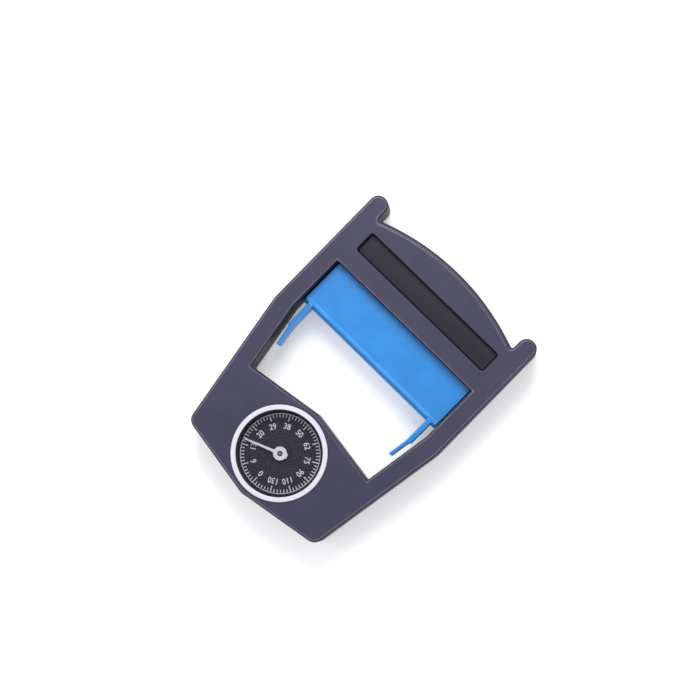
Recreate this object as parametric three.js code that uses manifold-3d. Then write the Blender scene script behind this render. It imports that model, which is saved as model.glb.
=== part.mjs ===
// Hand dynamometer: a flat housing with a finger window, a sliding grip that squeezes two
// springs against the palm rest, and a round dial whose pointer is driven by a rack.
//
// Frame: X across the hand, +Y towards the palm rest, +Z out of the dial face.
// The instrument lies on its back, with z = 0 on the rear face and x = y = 0 in the middle.
// The grip is modelled lightly squeezed, with the pointer restAngle past the zero mark.
// All sizes are millimetres.

import * as THREE from 'three';
import { mergeVertices } from 'three/addons/utils/BufferGeometryUtils.js';
import Module from 'manifold-3d';

const wasm = await Module();
wasm.setup();

// ---------------------------------------------------------------- driving dimensions

// Housing outline
const housingLength = 170;
const housingWidth = 124;
const housingThickness = 25.6;
const railWidth = 11; // the two rails, and the horns that they end in
const lowRailWidth = 11.45; // below the bend in the sides
const hornTipRadius = 5.4;
const palmDrop = 1.6; // from the horn tips down to the highest point of the palm rest
const palmRadius = 140;
const palmCornerRadius = 1.2;
const sideStraight = 81; // from the horn tips down to the bend in the sides
const sideBendRadius = 12;
const bottomHalfWidth = 48.6; // at the two lower corners
const bottomCornerRadius = 6;
const bottomApexRadius = 11;
const roofAngle = THREE.MathUtils.degToRad(9.4); // of the shallow V at the bottom
const sillAngle = THREE.MathUtils.degToRad(8.6); // of the same V at the sill
const edgeRound = 1.3;

// Window
const bridgeDepth = 43; // from the horn tips down to the window's top edge
const blockDepth = 59.6; // from the bottom point up to the peak of the window's sill
const windowCornerRadius = 1;
const windowBendRadius = 8;
const sillPeakRadius = 8;

// Walls and general clearances
const outerWall = 2.4;
const windowWall = 2.2;
const faceWall = 2.4;
const partingGap = 0.3;
const seatGap = 0.3; // between two pieces that rest on each other
const slideGap = 0.6; // around a piece that slides
const clampGap = 0.05; // between thin flat faces that are clamped together
const touchGap = 0.1; // between small pieces that are screwed, riveted or pressed together
const pinPlay = 0.15; // around a pin or a shaft in its hole
const screwPlay = 0.3; // around a screw in its hole
const rodPlay = 0.25; // around a draw rod in the spring plate
const throughCut = 1; // how far a cut runs past the faces that it goes through

// Long pocket in the front of the bridge
const pocketTop = 18.2; // from the horn tips
const pocketHeight = 13.4;
const pocketSideMargin = 2.5; // its ends stop this far inside the window's width
const pocketDepth = 3;
const pocketFloor = 1.8;
const pocketRamp = 2.6; // width of the slope at its lower edge
const pocketRampTop = 0.3;

// Grip
const gripSideGap = 0.8;
const gripShowing = 28.6; // height of blue below the window's top edge
const gripWall = 2.2;
const gripFaceGap = 0.8; // between the grip and the pocket's underside
const gripCornerRadius = 5;
const gripLipRadius = 0.6;
const gripScrewBite = 7;
const cheekThickness = 3.2;
const cheekInset = 2.9; // from the grip's end to the cheek's outer face
const cheekFoot = 15; // length of the wide upper part below the grip
const cheekToe = 12; // length of the narrow lower part
const cheekLean = 0.1; // how far the wide part leans inwards
const toeThickness = 2.2;
const toeStep = 1.2; // height of the slope between the two parts
const cheekDepth = 12.4;

// Dial
const dialHeight = 29.8; // centre of the dial above the bottom point
const dialSides = 32;
const bezelOuterRadius = 26.6;
const bezelInnerRadius = 23.9;
const bezelHeight = 1.15;
const bezelEdge = 0.4;
const bezelSeatDepth = 1;
const caseWall = 1.6;
const caseShoulder = 1.2; // width of the step that carries the crystal
const caseRim = 0.8; // wall beside the crystal
const caseFloor = 1.2;
const caseFlange = 0.5;
const crystalThickness = 1.2;
const crystalDrop = 0.4; // of the crystal's top below the housing's face
const gasketThickness = 0.6;
const dialThickness = 0.8;
const clampRingWidth = 1.6;
const clampRingThickness = 1;

// Pointer
const restAngle = THREE.MathUtils.degToRad(68.5);
const pointerTipGap = 2.1; // between the pointer's tip and the dial case
const pointerHubRadius = 3.84;
const pointerHoleRadius = 1.1;
const pointerRootWidth = 1.7;
const pointerTipWidth = 0.9;
const pointerTail = 4.3;
const pointerTailWidth = 3;
const pointerThickness = 0.6;
const pointerGap = 1.3; // above the dial plate
const pointerBossRadius = 2.2;
const pointerBossRise = 0.4; // above the dial plate
const pointerBossProud = 0.2; // above the pointer

// Rack and pinion
const gearModule = 0.5;
const pinionTeeth = 8;
const pressureAngle = THREE.MathUtils.degToRad(25);
const toothAddendum = 0.4;
const toothDedendum = 0.5;
const toothBacklash = 0.12;
const pinionWidth = 2.4;
const rackThickness = 2;
const rackBack = 1.8; // metal behind the tooth roots
const rackHeadWidth = 9;
const rackRivetInset = 1.6; // from the ends of the rack's head
const rackSpare = 2; // rack beyond the last tooth in mesh at each limit
const arborRadius = 0.8;
const arborTipRadius = 0.5;
const arborProud = 0.8; // behind the back plate
const arborClearance = 0.7; // around the arbor in the dial case and the dial plate
const fullScale = THREE.MathUtils.degToRad(330);

// Movement
const plateThickness = 1.2;
const plateHalfWidth = 16;
const plateBelow = 15.5; // plate edges from the dial's centre
const plateAbove = 5;
const plateCornerRadius = 2.5;
const spacerRadius = 1.6;
const spacerMargin = 3; // of a spacer's axis from the sides and the lower edge of the plate
const spacerRise = 11; // between the lower and the upper pair of spacers
const machineScrewRadius = 0.7;
const machineHeadRadius = 1.4;
const machineHeadHeight = 1.1;
const bushRadius = 2;
const bushFlange = 0.5;
const bushFlangeReach = 0.8; // beyond the bush's own radius
const linkPlateGap = 0.5; // between the link and the back plate
const rackPlateGap = 1.4; // room for the rivet heads behind the front plate
const guideWidth = 3;
const guidePlay = 0.25; // between the rack and its guide
const guideBelow = 4.5; // ends of the guide from the dial's centre
const guideAbove = 4;
const hairspringTurns = 3;
const hairspringInner = 1.95;
const hairspringOuter = 3.9;
const hairspringWidth = 1;
const hairspringThickness = 0.2;
const hairspringRise = 0.4; // above the back plate
const colletPlay = 0.12;
const studRadius = 0.6;
const studOffset = 0.85; // of the stud's axis beyond the spring's outer end

// Main springs and their posts
const springOffset = 19; // of each spring from the middle
const springWire = 2.6;
const springTurns = 5.8;
const springDeadTurns = 0.75; // closed turns at each end
const springFaceGap = 0.5; // between a spring and the pocket's underside
const springTurnGap = 0.15; // between closed turns
const postPlay = 1.9; // between a post and the inside of its spring
const postFlange = 1.2;
const postSeatGap = 0.4; // between a post's flange and the palm rest's wall

// Linkage from the grip to the rack
const springPlateThickness = 2;
const springPlateRise = 5; // of the plate's underside above the window's top edge
const earDepth = 5;
const earReach = 2.6; // beyond the draw rod's axis
const rodRadius = 1.2;
const rodNutRadius = 2.2;
const rodNutHeight = 2;
const rodThread = 1.2; // rod showing above its nut
const rodCollar = 1.2;
const rodShift = 0.2; // outwards from the middle of the rail's hollow
const rodBendEase = 3; // length of the bend on each side of its corner
const rodEyeRadius = 2.5;
const rodEyeFlat = 0.3; // taken off the back of each eye
const rodEyeRise = 5.4; // of the eyes above the dial's centre
const linkThickness = 1.7;
const linkWidth = 4;
const linkGap = 0.4; // between the link and what is riveted to it
const linkPeakRise = 10.7; // of the link's middle above the dial's centre
const pinRadius = 0.8;
const pinHeadRadius = 1.5;
const pinHeadHeight = 0.6;
const pinPeen = 0.3; // how much smaller the riveted end is than the head

// Housing screws
const bossRadius = 2.9;
const rearBossRadius = 4;
const screwRadius = 1;
const screwHeadRadius = 2.3;
const screwHeadHeight = 1.7;
const screwHeadDepth = 0.8; // of the head's top below the rear face
const screwBite = 6; // into the front housing's bosses
const bridgeScrewSpread = 17; // of the bridge screws beyond the springs' axes
const bridgeScrewDrop = 13.6; // from the horn tips
const blockScrewInset = 10.9; // from the lower corners
const blockScrewRise = 15; // above the bottom point

// ---------------------------------------------------------------- derived levels

const topY = housingLength / 2;
const bottomY = -housingLength / 2;
const halfWidth = housingWidth / 2;
const middleZ = housingThickness / 2;
const windowTopY = topY - bridgeDepth;
const hornInnerX = halfWidth - railWidth;
const dialY = bottomY + dialHeight;
const roofSlope = Math.tan(roofAngle);

const pitchRadius = (gearModule * pinionTeeth) / 2;
const travelBack = pitchRadius * restAngle;
const travelAhead = pitchRadius * (fullScale - restAngle);

const pocketTopY = topY - pocketTop;
const pocketBottomY = pocketTopY - pocketHeight;
const pocketHalfWidth = hornInnerX - pocketSideMargin;
const pocketUnderZ = housingThickness - pocketDepth - pocketFloor;

const gripHalfDepth = pocketUnderZ - gripFaceGap - middleZ;
const gripHalfWidth = hornInnerX - gripSideGap;
const gripBottomY = windowTopY - gripShowing;
const springPlateY = windowTopY + springPlateRise;
const gripTopY = springPlateY - seatGap;

// ---------------------------------------------------------------- solid modelling helpers

/** A closed three.js geometry as a solid that can be joined and cut. */
function solid(geometry) {
  const bare = geometry.clone();
  bare.deleteAttribute('normal');
  bare.deleteAttribute('uv');
  const merged = mergeVertices(bare, 1e-4);
  const index = merged.index.array;
  const kept = [];
  for (let i = 0; i < index.length; i += 3) {
    const [a, b, c] = [index[i], index[i + 1], index[i + 2]];
    if (a !== b && b !== c && c !== a) kept.push(a, b, c);
  }
  return new wasm.Manifold(
    new wasm.Mesh({
      numProp: 3,
      vertProperties: Float32Array.from(merged.attributes.position.array),
      triVerts: Uint32Array.from(kept),
    }),
  );
}

/** A solid as a three.js geometry. */
function shell(body) {
  const mesh = body.getMesh();
  const geometry = new THREE.BufferGeometry();
  geometry.setAttribute('position', new THREE.BufferAttribute(mesh.vertProperties, 3));
  geometry.setIndex(new THREE.BufferAttribute(mesh.triVerts, 1));
  geometry.computeVertexNormals();
  return geometry;
}

function join(first, ...others) {
  return others.reduce((sum, body) => sum.add(body), first);
}

function cut(first, ...others) {
  return others.reduce((rest, body) => rest.subtract(body), first);
}

/** A box between two corners. */
function block(x0, x1, y0, y1, z0, z1) {
  const box = new THREE.BoxGeometry(x1 - x0, y1 - y0, z1 - z0);
  return solid(box.translate((x0 + x1) / 2, (y0 + y1) / 2, (z0 + z1) / 2));
}

/** A flat piece of the given outline, from z0 to z1. */
function plate(points, z0, z1) {
  const shape = new THREE.Shape(points);
  const flat = new THREE.ExtrudeGeometry(shape, { depth: z1 - z0, bevelEnabled: false });
  return solid(flat.translate(0, 0, z0));
}

/** A bar along X, from -halfLength to halfLength, whose outline is drawn in Y and Z. */
function barAlongX(points, halfLength) {
  const bar = new THREE.ExtrudeGeometry(new THREE.Shape(points), {
    depth: 2 * halfLength,
    bevelEnabled: false,
  });
  bar.applyMatrix4(
    new THREE.Matrix4().makeBasis(
      new THREE.Vector3(0, 1, 0),
      new THREE.Vector3(0, 0, 1),
      new THREE.Vector3(1, 0, 0),
    ),
  );
  return solid(bar.translate(-halfLength, 0, 0));
}

/** A round bar along Z. */
function rod(x, y, radius, z0, z1, sides = 12) {
  const bar = new THREE.CylinderGeometry(radius, radius, z1 - z0, sides);
  return solid(bar.rotateX(Math.PI / 2).translate(x, y, (z0 + z1) / 2));
}

/** A round bar along Y. */
function rodY(x, z, radius, y0, y1, sides = 12) {
  const bar = new THREE.CylinderGeometry(radius, radius, y1 - y0, sides);
  return solid(bar.translate(x, (y0 + y1) / 2, z));
}

/** A body turned about Z from a profile of [radius, z] points. */
function turned(profile, sides = 32, x = 0, y = 0) {
  const points = profile.map(([radius, z]) => new THREE.Vector2(radius, z));
  return solid(new THREE.LatheGeometry(points, sides).rotateX(Math.PI / 2).translate(x, y, 0));
}

/** The closed profile of a ring. */
function ringProfile(inner, outer, z0, z1) {
  return [[inner, z0], [outer, z0], [outer, z1], [inner, z1], [inner, z0]];
}

/** Where the line through p and q meets the line through r and s. */
function crossing(p, q, r, s) {
  const [dx, dy] = [q.x - p.x, q.y - p.y];
  const [ex, ey] = [s.x - r.x, s.y - r.y];
  const t = ((r.x - p.x) * ey - (r.y - p.y) * ex) / (dx * ey - dy * ex);
  return { x: p.x + t * dx, y: p.y + t * dy };
}

const sharpestRadius = 0.05; // of a corner that has no rounding of its own

/** The corners of an outline moved inwards by a distance; corners run anticlockwise. */
function inset(corners, distance) {
  const count = corners.length;
  const moved = corners.map((a, i) => {
    const b = corners[(i + 1) % count];
    const length = Math.hypot(b.x - a.x, b.y - a.y);
    const [nx, ny] = [(-(b.y - a.y) / length) * distance, ((b.x - a.x) / length) * distance];
    return [{ x: a.x + nx, y: a.y + ny }, { x: b.x + nx, y: b.y + ny }];
  });
  return corners.map((corner, i) => {
    const before = moved[(i + count - 1) % count];
    const after = moved[i];
    const previous = corners[(i + count - 1) % count];
    const next = corners[(i + 1) % count];
    const turn =
      (corner.x - previous.x) * (next.y - corner.y) - (corner.y - previous.y) * (next.x - corner.x);
    const r = Math.max(corner.r - Math.sign(turn) * distance, sharpestRadius);
    return { ...crossing(before[0], before[1], after[0], after[1]), r };
  });
}

const arcStep = 0.5; // largest angle of one step round a corner, in radians
const arcStepLength = 12; // and its largest length

/** Points of an outline whose corners are rounded to their own radius r. */
function rounded(corners) {
  const count = corners.length;
  const points = [];
  const vertex = (i) => new THREE.Vector2(corners[i % count].x, corners[i % count].y);
  corners.forEach((corner, i) => {
    const here = vertex(i);
    const back = vertex(i + count - 1);
    const ahead = vertex(i + 1);
    const inward = back.clone().sub(here).normalize();
    const outward = ahead.clone().sub(here).normalize();
    const half = inward.angleTo(outward) / 2;
    const middle = inward.clone().add(outward).normalize();
    const centre = here.clone().addScaledVector(middle, corner.r / Math.sin(half));
    const start = here.clone().addScaledVector(inward, corner.r / Math.tan(half)).sub(centre);
    const turn = Math.PI - 2 * half;
    const side = -Math.sign(start.cross(inward));
    const steps = Math.max(2, Math.ceil(turn / arcStep), Math.ceil((turn * corner.r) / arcStepLength));
    for (let k = 0; k <= steps; k += 1) {
      const spoke = start.clone().rotateAround(new THREE.Vector2(), (side * turn * k) / steps);
      points.push(spoke.add(centre));
    }
  });
  return points;
}

/** An outline given for x > 0, from the bottom to the top of the middle line, with its mirror image. */
function mirrored(half) {
  const left = half.filter((corner) => corner.x > 0).map((corner) => ({ ...corner, x: -corner.x }));
  return [...half, ...left.reverse()];
}

const group = new THREE.Group();

function add(name, body, material) {
  const mesh = new THREE.Mesh(body.isBufferGeometry ? body : shell(body), material);
  mesh.name = name;
  group.add(mesh);
}

// ---------------------------------------------------------------- materials

function finish(color, roughness, metalness) {
  return new THREE.MeshStandardMaterial({ color, roughness, metalness });
}

const housingPlastic = finish(0x46444f, 0.62, 0);
const gripPlastic = finish(0x2f86dc, 0.42, 0);
const bezelPaint = finish(0xe4e2ec, 0.35, 0.1);
const casePlastic = finish(0x17161c, 0.5, 0);
const dialPaint = finish(0x37353f, 0.55, 0);
const pointerPaint = finish(0xf2f0f6, 0.45, 0);
const clearPlastic = finish(0xeef2f6, 0.05, 0);
const rubber = finish(0x101012, 0.8, 0);
const steel = finish(0xa8abb0, 0.35, 1);
const darkSteel = finish(0x55565a, 0.4, 1);
const springSteel = finish(0x7d7f84, 0.3, 1);
const brass = finish(0xb8923f, 0.3, 1);
const nylon = finish(0xe9e6dc, 0.5, 0);

// ---------------------------------------------------------------- outlines

const palmHalfAngle = Math.asin((hornInnerX - 2 * palmCornerRadius) / palmRadius);
const palmPeakY = topY - palmDrop;
const palmVertexY = palmPeakY + palmRadius * (1 / Math.cos(palmHalfAngle) - 1);
const palmCornerY = palmVertexY - hornInnerX * Math.tan(palmHalfAngle);
const bottomVertexY = bottomY - bottomApexRadius * (1 / Math.cos(roofAngle) - 1);
const sideBendY = topY - sideStraight;

const outline = mirrored([
  { x: 0, y: bottomVertexY, r: bottomApexRadius },
  { x: bottomHalfWidth, y: bottomVertexY + bottomHalfWidth * roofSlope, r: bottomCornerRadius },
  { x: halfWidth, y: sideBendY, r: sideBendRadius },
  { x: halfWidth, y: topY, r: hornTipRadius },
  { x: hornInnerX, y: topY, r: hornTipRadius },
  { x: hornInnerX, y: palmCornerY, r: palmCornerRadius },
  { x: 0, y: palmVertexY, r: palmRadius },
]);

// The window's sides run parallel to the housing's, a rail's width inside them.
const [, innerBottom, innerSide] = inset(outline, lowRailWidth);
const innerBend = crossing(
  innerBottom,
  innerSide,
  { x: hornInnerX, y: bottomY },
  { x: hornInnerX, y: topY },
);
const sillVertexY = bottomY + blockDepth + sillPeakRadius * (1 / Math.cos(sillAngle) - 1);
const sillCorner = crossing(
  innerBottom,
  innerBend,
  { x: 0, y: sillVertexY },
  { x: 1, y: sillVertexY - Math.tan(sillAngle) },
);
const windowOutline = mirrored([
  { x: 0, y: sillVertexY, r: sillPeakRadius },
  { ...sillCorner, r: windowCornerRadius },
  { x: innerBend.x, y: innerBend.y, r: windowBendRadius },
  { x: hornInnerX, y: windowTopY, r: windowCornerRadius },
]);

/** How far a rail moves inwards for each millimetre below the bend. */
const railLean = (halfWidth - bottomHalfWidth) / (sideBendY - outline[1].y);

// ---------------------------------------------------------------- housing

const housingScrews = [];
const hornX = halfWidth - railWidth / 2;
const hornScrewY = topY - railWidth;
const bridgeScrewX = springOffset + bridgeScrewSpread;
const bridgeScrewY = topY - bridgeScrewDrop;
const blockScrewX = bottomHalfWidth - blockScrewInset;
const blockScrewY = bottomY + blockScrewRise;
for (const side of [-1, 1]) {
  const hand = side < 0 ? 'left' : 'right';
  housingScrews.push({ name: `horn_screw_${hand}`, x: side * hornX, y: hornScrewY });
  housingScrews.push({ name: `bridge_screw_${hand}`, x: side * bridgeScrewX, y: bridgeScrewY });
  housingScrews.push({ name: `block_screw_${hand}`, x: side * blockScrewX, y: blockScrewY });
}

/** The whole housing's outer form, with rounded front and rear edges. */
function housingForm() {
  const shape = new THREE.Shape(rounded(inset(outline, edgeRound)));
  const body = new THREE.ExtrudeGeometry(shape, {
    depth: housingThickness - 2 * edgeRound,
    bevelThickness: edgeRound,
    bevelSize: edgeRound,
    bevelSegments: 1,
  });
  const windowShape = rounded(windowOutline);
  const opening = plate(windowShape, -throughCut, housingThickness + throughCut);
  const flare = new THREE.ExtrudeGeometry(new THREE.Shape(windowShape), {
    depth: throughCut,
    bevelThickness: edgeRound,
    bevelSize: edgeRound,
    bevelSegments: 1,
  });
  const frontFlare = solid(flare.clone().translate(0, 0, housingThickness));
  const rearFlare = solid(flare.clone().translate(0, 0, -throughCut));
  return cut(solid(body.translate(0, 0, edgeRound)), opening, frontFlare, rearFlare);
}

/** The hollow inside both halves, between the outer wall and the wall round the window. */
function housingHollow() {
  const outside = plate(rounded(inset(outline, outerWall)), faceWall, housingThickness - faceWall);
  const grown = windowOutline.map(({ x, y, r }) => ({ x, y, r }));
  const around = plate(rounded(inset(grown, -windowWall)), 0, housingThickness);
  return cut(outside, around);
}

const slotHalfWidth = gripHalfWidth + slideGap;
const slotHalfDepth = gripHalfDepth + slideGap;
const gripSlot = block(
  -slotHalfWidth,
  slotHalfWidth,
  windowTopY - throughCut,
  windowTopY + windowWall + throughCut,
  middleZ - slotHalfDepth,
  middleZ + slotHalfDepth,
);

const caseOuterRadius = bezelInnerRadius + caseWall - seatGap;
const caseHoleRadius = caseOuterRadius + seatGap;
const bezelSeatRadius = bezelOuterRadius + seatGap;
const bezelSeatZ = housingThickness - bezelSeatDepth;
const partingRearZ = middleZ - partingGap / 2;
const partingFrontZ = middleZ + partingGap / 2;

/** Solid left under the pocket, so that its floor and sides keep their walls. */
const pocketSurround = block(
  -pocketHalfWidth - pocketFloor,
  pocketHalfWidth + pocketFloor,
  pocketBottomY - pocketFloor,
  pocketTopY + pocketFloor,
  pocketUnderZ,
  housingThickness,
);

/** The pocket: upright at its upper edge and ends, sloping at its lower edge. */
function pocketForm() {
  const section = [
    new THREE.Vector2(pocketBottomY, housingThickness - pocketRampTop),
    new THREE.Vector2(pocketBottomY + pocketRamp, housingThickness - pocketDepth),
    new THREE.Vector2(pocketTopY, housingThickness - pocketDepth),
    new THREE.Vector2(pocketTopY, housingThickness + throughCut),
    new THREE.Vector2(pocketBottomY, housingThickness + throughCut),
  ];
  return barAlongX(section, pocketHalfWidth);
}

const hollow = housingHollow();
const big = housingLength + housingWidth;

function frontShell() {
  const form = cut(housingForm(), block(-big, big, -big, big, -big, partingFrontZ));
  let body = cut(form, cut(hollow, pocketSurround), gripSlot, pocketForm());
  for (const { x, y } of housingScrews) {
    const boss = rod(x, y, bossRadius, partingFrontZ, housingThickness - faceWall / 2);
    body = join(body, boss.intersect(form));
  }
  body = cut(body, pocketForm());
  for (const { x, y } of housingScrews) {
    body = cut(body, rod(x, y, screwRadius + screwPlay, 0, partingFrontZ + screwBite + throughCut));
  }
  return cut(
    body,
    rod(0, dialY, caseHoleRadius, 0, housingThickness + throughCut, dialSides),
    rod(0, dialY, bezelSeatRadius, bezelSeatZ, housingThickness + throughCut, dialSides),
  );
}

function rearShell() {
  const form = cut(housingForm(), block(-big, big, -big, big, partingRearZ, big));
  let body = cut(form, hollow, gripSlot);
  for (const { x, y } of housingScrews) {
    const boss = rod(x, y, rearBossRadius, faceWall / 2, partingRearZ);
    body = join(body, boss.intersect(form));
  }
  for (const { x, y } of housingScrews) {
    body = cut(
      body,
      rod(x, y, screwRadius + screwPlay, -throughCut, housingThickness),
      rod(x, y, screwHeadRadius + screwPlay, -throughCut, screwHeadDepth + screwHeadHeight + seatGap),
    );
  }
  return body;
}

add('front_shell', frontShell(), housingPlastic);
add('rear_shell', rearShell(), housingPlastic);

/** A round-headed screw that points along +Z, with a cross slot in its head. */
function screw(x, y, headZ, headRadius, headHeight, shankRadius, endZ) {
  const body = turned(
    [
      [0, headZ],
      [headRadius * 0.8, headZ],
      [headRadius, headZ + headHeight * 0.35],
      [headRadius, headZ + headHeight],
      [shankRadius, headZ + headHeight],
      [shankRadius, endZ - shankRadius],
      [0, endZ],
    ],
    8,
    x,
    y,
  );
  const [reach, half] = [headRadius * 0.6, headRadius * 0.14];
  const depth = headZ + headHeight * 0.5;
  return cut(
    body,
    block(x - reach, x + reach, y - half, y + half, headZ - throughCut, depth),
    block(x - half, x + half, y - reach, y + reach, headZ - throughCut, depth),
  );
}

for (const { name, x, y } of housingScrews) {
  const end = partingFrontZ + screwBite;
  add(name, screw(x, y, screwHeadDepth, screwHeadRadius, screwHeadHeight, screwRadius, end), darkSteel);
}

// ---------------------------------------------------------------- movement levels

const rackZ = middleZ - rackThickness / 2;
const linkZ = rackZ - linkGap - linkThickness;
const backPlateTopZ = linkZ - linkPlateGap;
const backPlateZ = backPlateTopZ - plateThickness;
const frontPlateZ = rackZ + rackThickness + rackPlateGap;
const caseFloorZ = frontPlateZ + plateThickness + slideGap;
const dialPlateZ = caseFloorZ + caseFloor + seatGap;
const dialTopZ = dialPlateZ + dialThickness;
const pointerZ = dialTopZ + pointerGap;
const crystalTopZ = housingThickness - crystalDrop;
const crystalZ = crystalTopZ - crystalThickness;
const gasketZ = crystalZ - gasketThickness - clampGap;
const shoulderZ = gasketZ - clampGap;
const caseInnerRadius = bezelInnerRadius - caseShoulder / 2;
const crystalRadius = caseOuterRadius - caseRim - touchGap;
const arborHoleRadius = arborRadius + arborClearance;
const pointerLength = caseInnerRadius - pointerTipGap;

// ---------------------------------------------------------------- dial

const spacerPlaces = [];
for (const side of [-1, 1]) {
  for (const row of [0, 1]) {
    spacerPlaces.push({
      label: `${row ? 'upper' : 'lower'}_${side < 0 ? 'left' : 'right'}`,
      x: side * (plateHalfWidth - spacerMargin),
      y: dialY - plateBelow + spacerMargin + row * spacerRise,
    });
  }
}

/** The holes for the four long movement screws. */
function spacerHoles(z0, z1) {
  return spacerPlaces.map(({ x, y }) => rod(x, y, machineScrewRadius + screwPlay, z0, z1));
}

const flangeZ = bezelSeatZ + clampGap;
const bezelZ = flangeZ + caseFlange + clampGap;
const bezelTopZ = bezelZ + bezelHeight;

/** A part of the dial, turned about the dial's axis. */
function dialTurned(profile, sides = dialSides) {
  return turned(profile, sides, 0, dialY);
}

/** The black cup that holds the dial, with a shoulder for the crystal and a flange on the housing. */
function dialCase() {
  const flangeRadius = bezelOuterRadius - touchGap;
  const seatRadius = caseOuterRadius - caseRim;
  const cup = dialTurned([
    [arborHoleRadius, caseFloorZ],
    [caseOuterRadius, caseFloorZ],
    [caseOuterRadius, flangeZ],
    [flangeRadius, flangeZ],
    [flangeRadius, flangeZ + caseFlange],
    [seatRadius, flangeZ + caseFlange],
    [seatRadius, shoulderZ],
    [caseInnerRadius, shoulderZ],
    [caseInnerRadius, caseFloorZ + caseFloor],
    [arborHoleRadius, caseFloorZ + caseFloor],
    [arborHoleRadius, caseFloorZ],
  ]);
  return cut(cup, ...spacerHoles(caseFloorZ - throughCut, caseFloorZ + caseFloor + touchGap));
}

add('dial_case', dialCase(), casePlastic);
add(
  'bezel_ring',
  dialTurned([
    [bezelInnerRadius, bezelZ],
    [bezelOuterRadius, bezelZ],
    [bezelOuterRadius, bezelTopZ - bezelEdge],
    [bezelOuterRadius - bezelEdge, bezelTopZ],
    [bezelInnerRadius + bezelEdge, bezelTopZ],
    [bezelInnerRadius, bezelTopZ - bezelEdge],
    [bezelInnerRadius, bezelZ],
  ]),
  bezelPaint,
);
add(
  'crystal',
  dialTurned([[0, crystalZ], [crystalRadius, crystalZ], [crystalRadius, crystalTopZ], [0, crystalTopZ]]),
  clearPlastic,
);

const gasketInner = caseInnerRadius + touchGap;
const gasketOuter = crystalRadius - touchGap;
add(
  'crystal_gasket',
  dialTurned(ringProfile(gasketInner, gasketOuter, gasketZ, gasketZ + gasketThickness)),
  rubber,
);

const clampTopZ = housingThickness - faceWall - seatGap;
const clampInner = caseOuterRadius + seatGap;
const clampOuter = caseOuterRadius + clampRingWidth;
add(
  'case_clamp_ring',
  dialTurned(ringProfile(clampInner, clampOuter, clampTopZ - clampRingThickness, clampTopZ)),
  steel,
);
add(
  'dial_plate',
  dialTurned(ringProfile(arborHoleRadius, caseInnerRadius - seatGap, dialPlateZ, dialTopZ)),
  dialPaint,
);

// ---------------------------------------------------------------- pointer

/** The pointer, drawn pointing down and turned clockwise to its reading. */
function pointer() {
  const shape = [
    new THREE.Vector2(pointerTipWidth / 2, -pointerLength),
    new THREE.Vector2(pointerRootWidth / 2, 0),
    new THREE.Vector2(-pointerRootWidth / 2, 0),
    new THREE.Vector2(-pointerTipWidth / 2, -pointerLength),
  ];
  const top = pointerZ + pointerThickness;
  const tail = block(-pointerTailWidth / 2, pointerTailWidth / 2, 0, pointerTail, pointerZ, top);
  const blade = join(plate(shape, pointerZ, top), rod(0, 0, pointerHubRadius, pointerZ, top, 28), tail);
  const body = cut(blade, rod(0, 0, pointerHoleRadius, pointerZ - throughCut, top + throughCut));
  return shell(body).rotateZ(-restAngle).translate(0, dialY, 0);
}

add('pointer', pointer(), pointerPaint);

const bossBoreRadius = arborTipRadius + pinPlay;
const bossStubRadius = pointerHoleRadius - pinPlay;
const bossZ = dialTopZ + pointerBossRise;
const bossTopZ = pointerZ + pointerThickness + pointerBossProud;
add(
  'pointer_boss',
  dialTurned(
    [
      [bossBoreRadius, bossZ],
      [pointerBossRadius, bossZ],
      [pointerBossRadius, pointerZ - touchGap],
      [bossStubRadius, pointerZ - touchGap],
      [bossStubRadius, bossTopZ],
      [bossBoreRadius, bossTopZ],
      [bossBoreRadius, bossZ],
    ],
    24,
  ),
  darkSteel,
);

// ---------------------------------------------------------------- pinion and rack

const toothPitch = Math.PI * gearModule;
const toothSink = 0.3; // how far the rack's teeth run on into its back
const pinionZ = middleZ - pinionWidth / 2;

/** One rack tooth on the rack's pitch line at x = -pitchRadius, pointing to +X. */
function toothPoints(y, grow) {
  const lean = Math.tan(pressureAngle);
  const half = toothPitch / 4 - toothBacklash / 4 + grow;
  const tip = toothAddendum + (grow ? toothDedendum - toothAddendum : 0);
  const root = toothDedendum + toothSink;
  return [
    new THREE.Vector2(-pitchRadius - root, y - half - root * lean),
    new THREE.Vector2(-pitchRadius + tip, y - half + tip * lean),
    new THREE.Vector2(-pitchRadius + tip, y + half - tip * lean),
    new THREE.Vector2(-pitchRadius - root, y + half + root * lean),
  ];
}

/** The pinion and its shaft: the tooth spaces are swept out by a rack tooth that rolls past. */
function pinionArbor() {
  const outer = pitchRadius + toothAddendum;
  let gear = rod(0, 0, outer, pinionZ, pinionZ + pinionWidth, 24);
  const rolls = 3;
  const rollStep = toothPitch * 0.3;
  for (let gap = 0; gap < pinionTeeth; gap += 1) {
    for (let roll = -rolls; roll <= rolls; roll += 1) {
      const shift = roll * rollStep;
      const turn = (gap * toothPitch + shift) / pitchRadius;
      const points = toothPoints(shift, toothBacklash / 2);
      const tooth = shell(plate(points, pinionZ - throughCut, pinionZ + pinionWidth + throughCut));
      gear = cut(gear, solid(tooth.rotateZ(turn)));
    }
  }
  const endZ = backPlateZ - arborProud;
  const stepZ = dialTopZ + touchGap;
  const tipZ = pointerZ + pointerThickness + touchGap;
  const shaft = turned(
    [
      [0, endZ],
      [arborRadius, endZ],
      [arborRadius, stepZ],
      [arborTipRadius, stepZ],
      [arborTipRadius, tipZ],
      [0, tipZ],
    ],
    12,
  );
  return join(gear, shaft).translate(0, dialY, 0);
}

add('pinion_arbor', pinionArbor(), steel);

const linkPeakY = dialY + linkPeakRise;
const rackRootX = -pitchRadius - toothDedendum;
const rackLeft = rackRootX - rackBack;
const rackTopZ = rackZ + rackThickness;
const firstTooth = Math.floor(-(travelAhead + rackSpare) / toothPitch);
const lastTooth = Math.ceil((travelBack + rackSpare / 2) / toothPitch);

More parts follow.
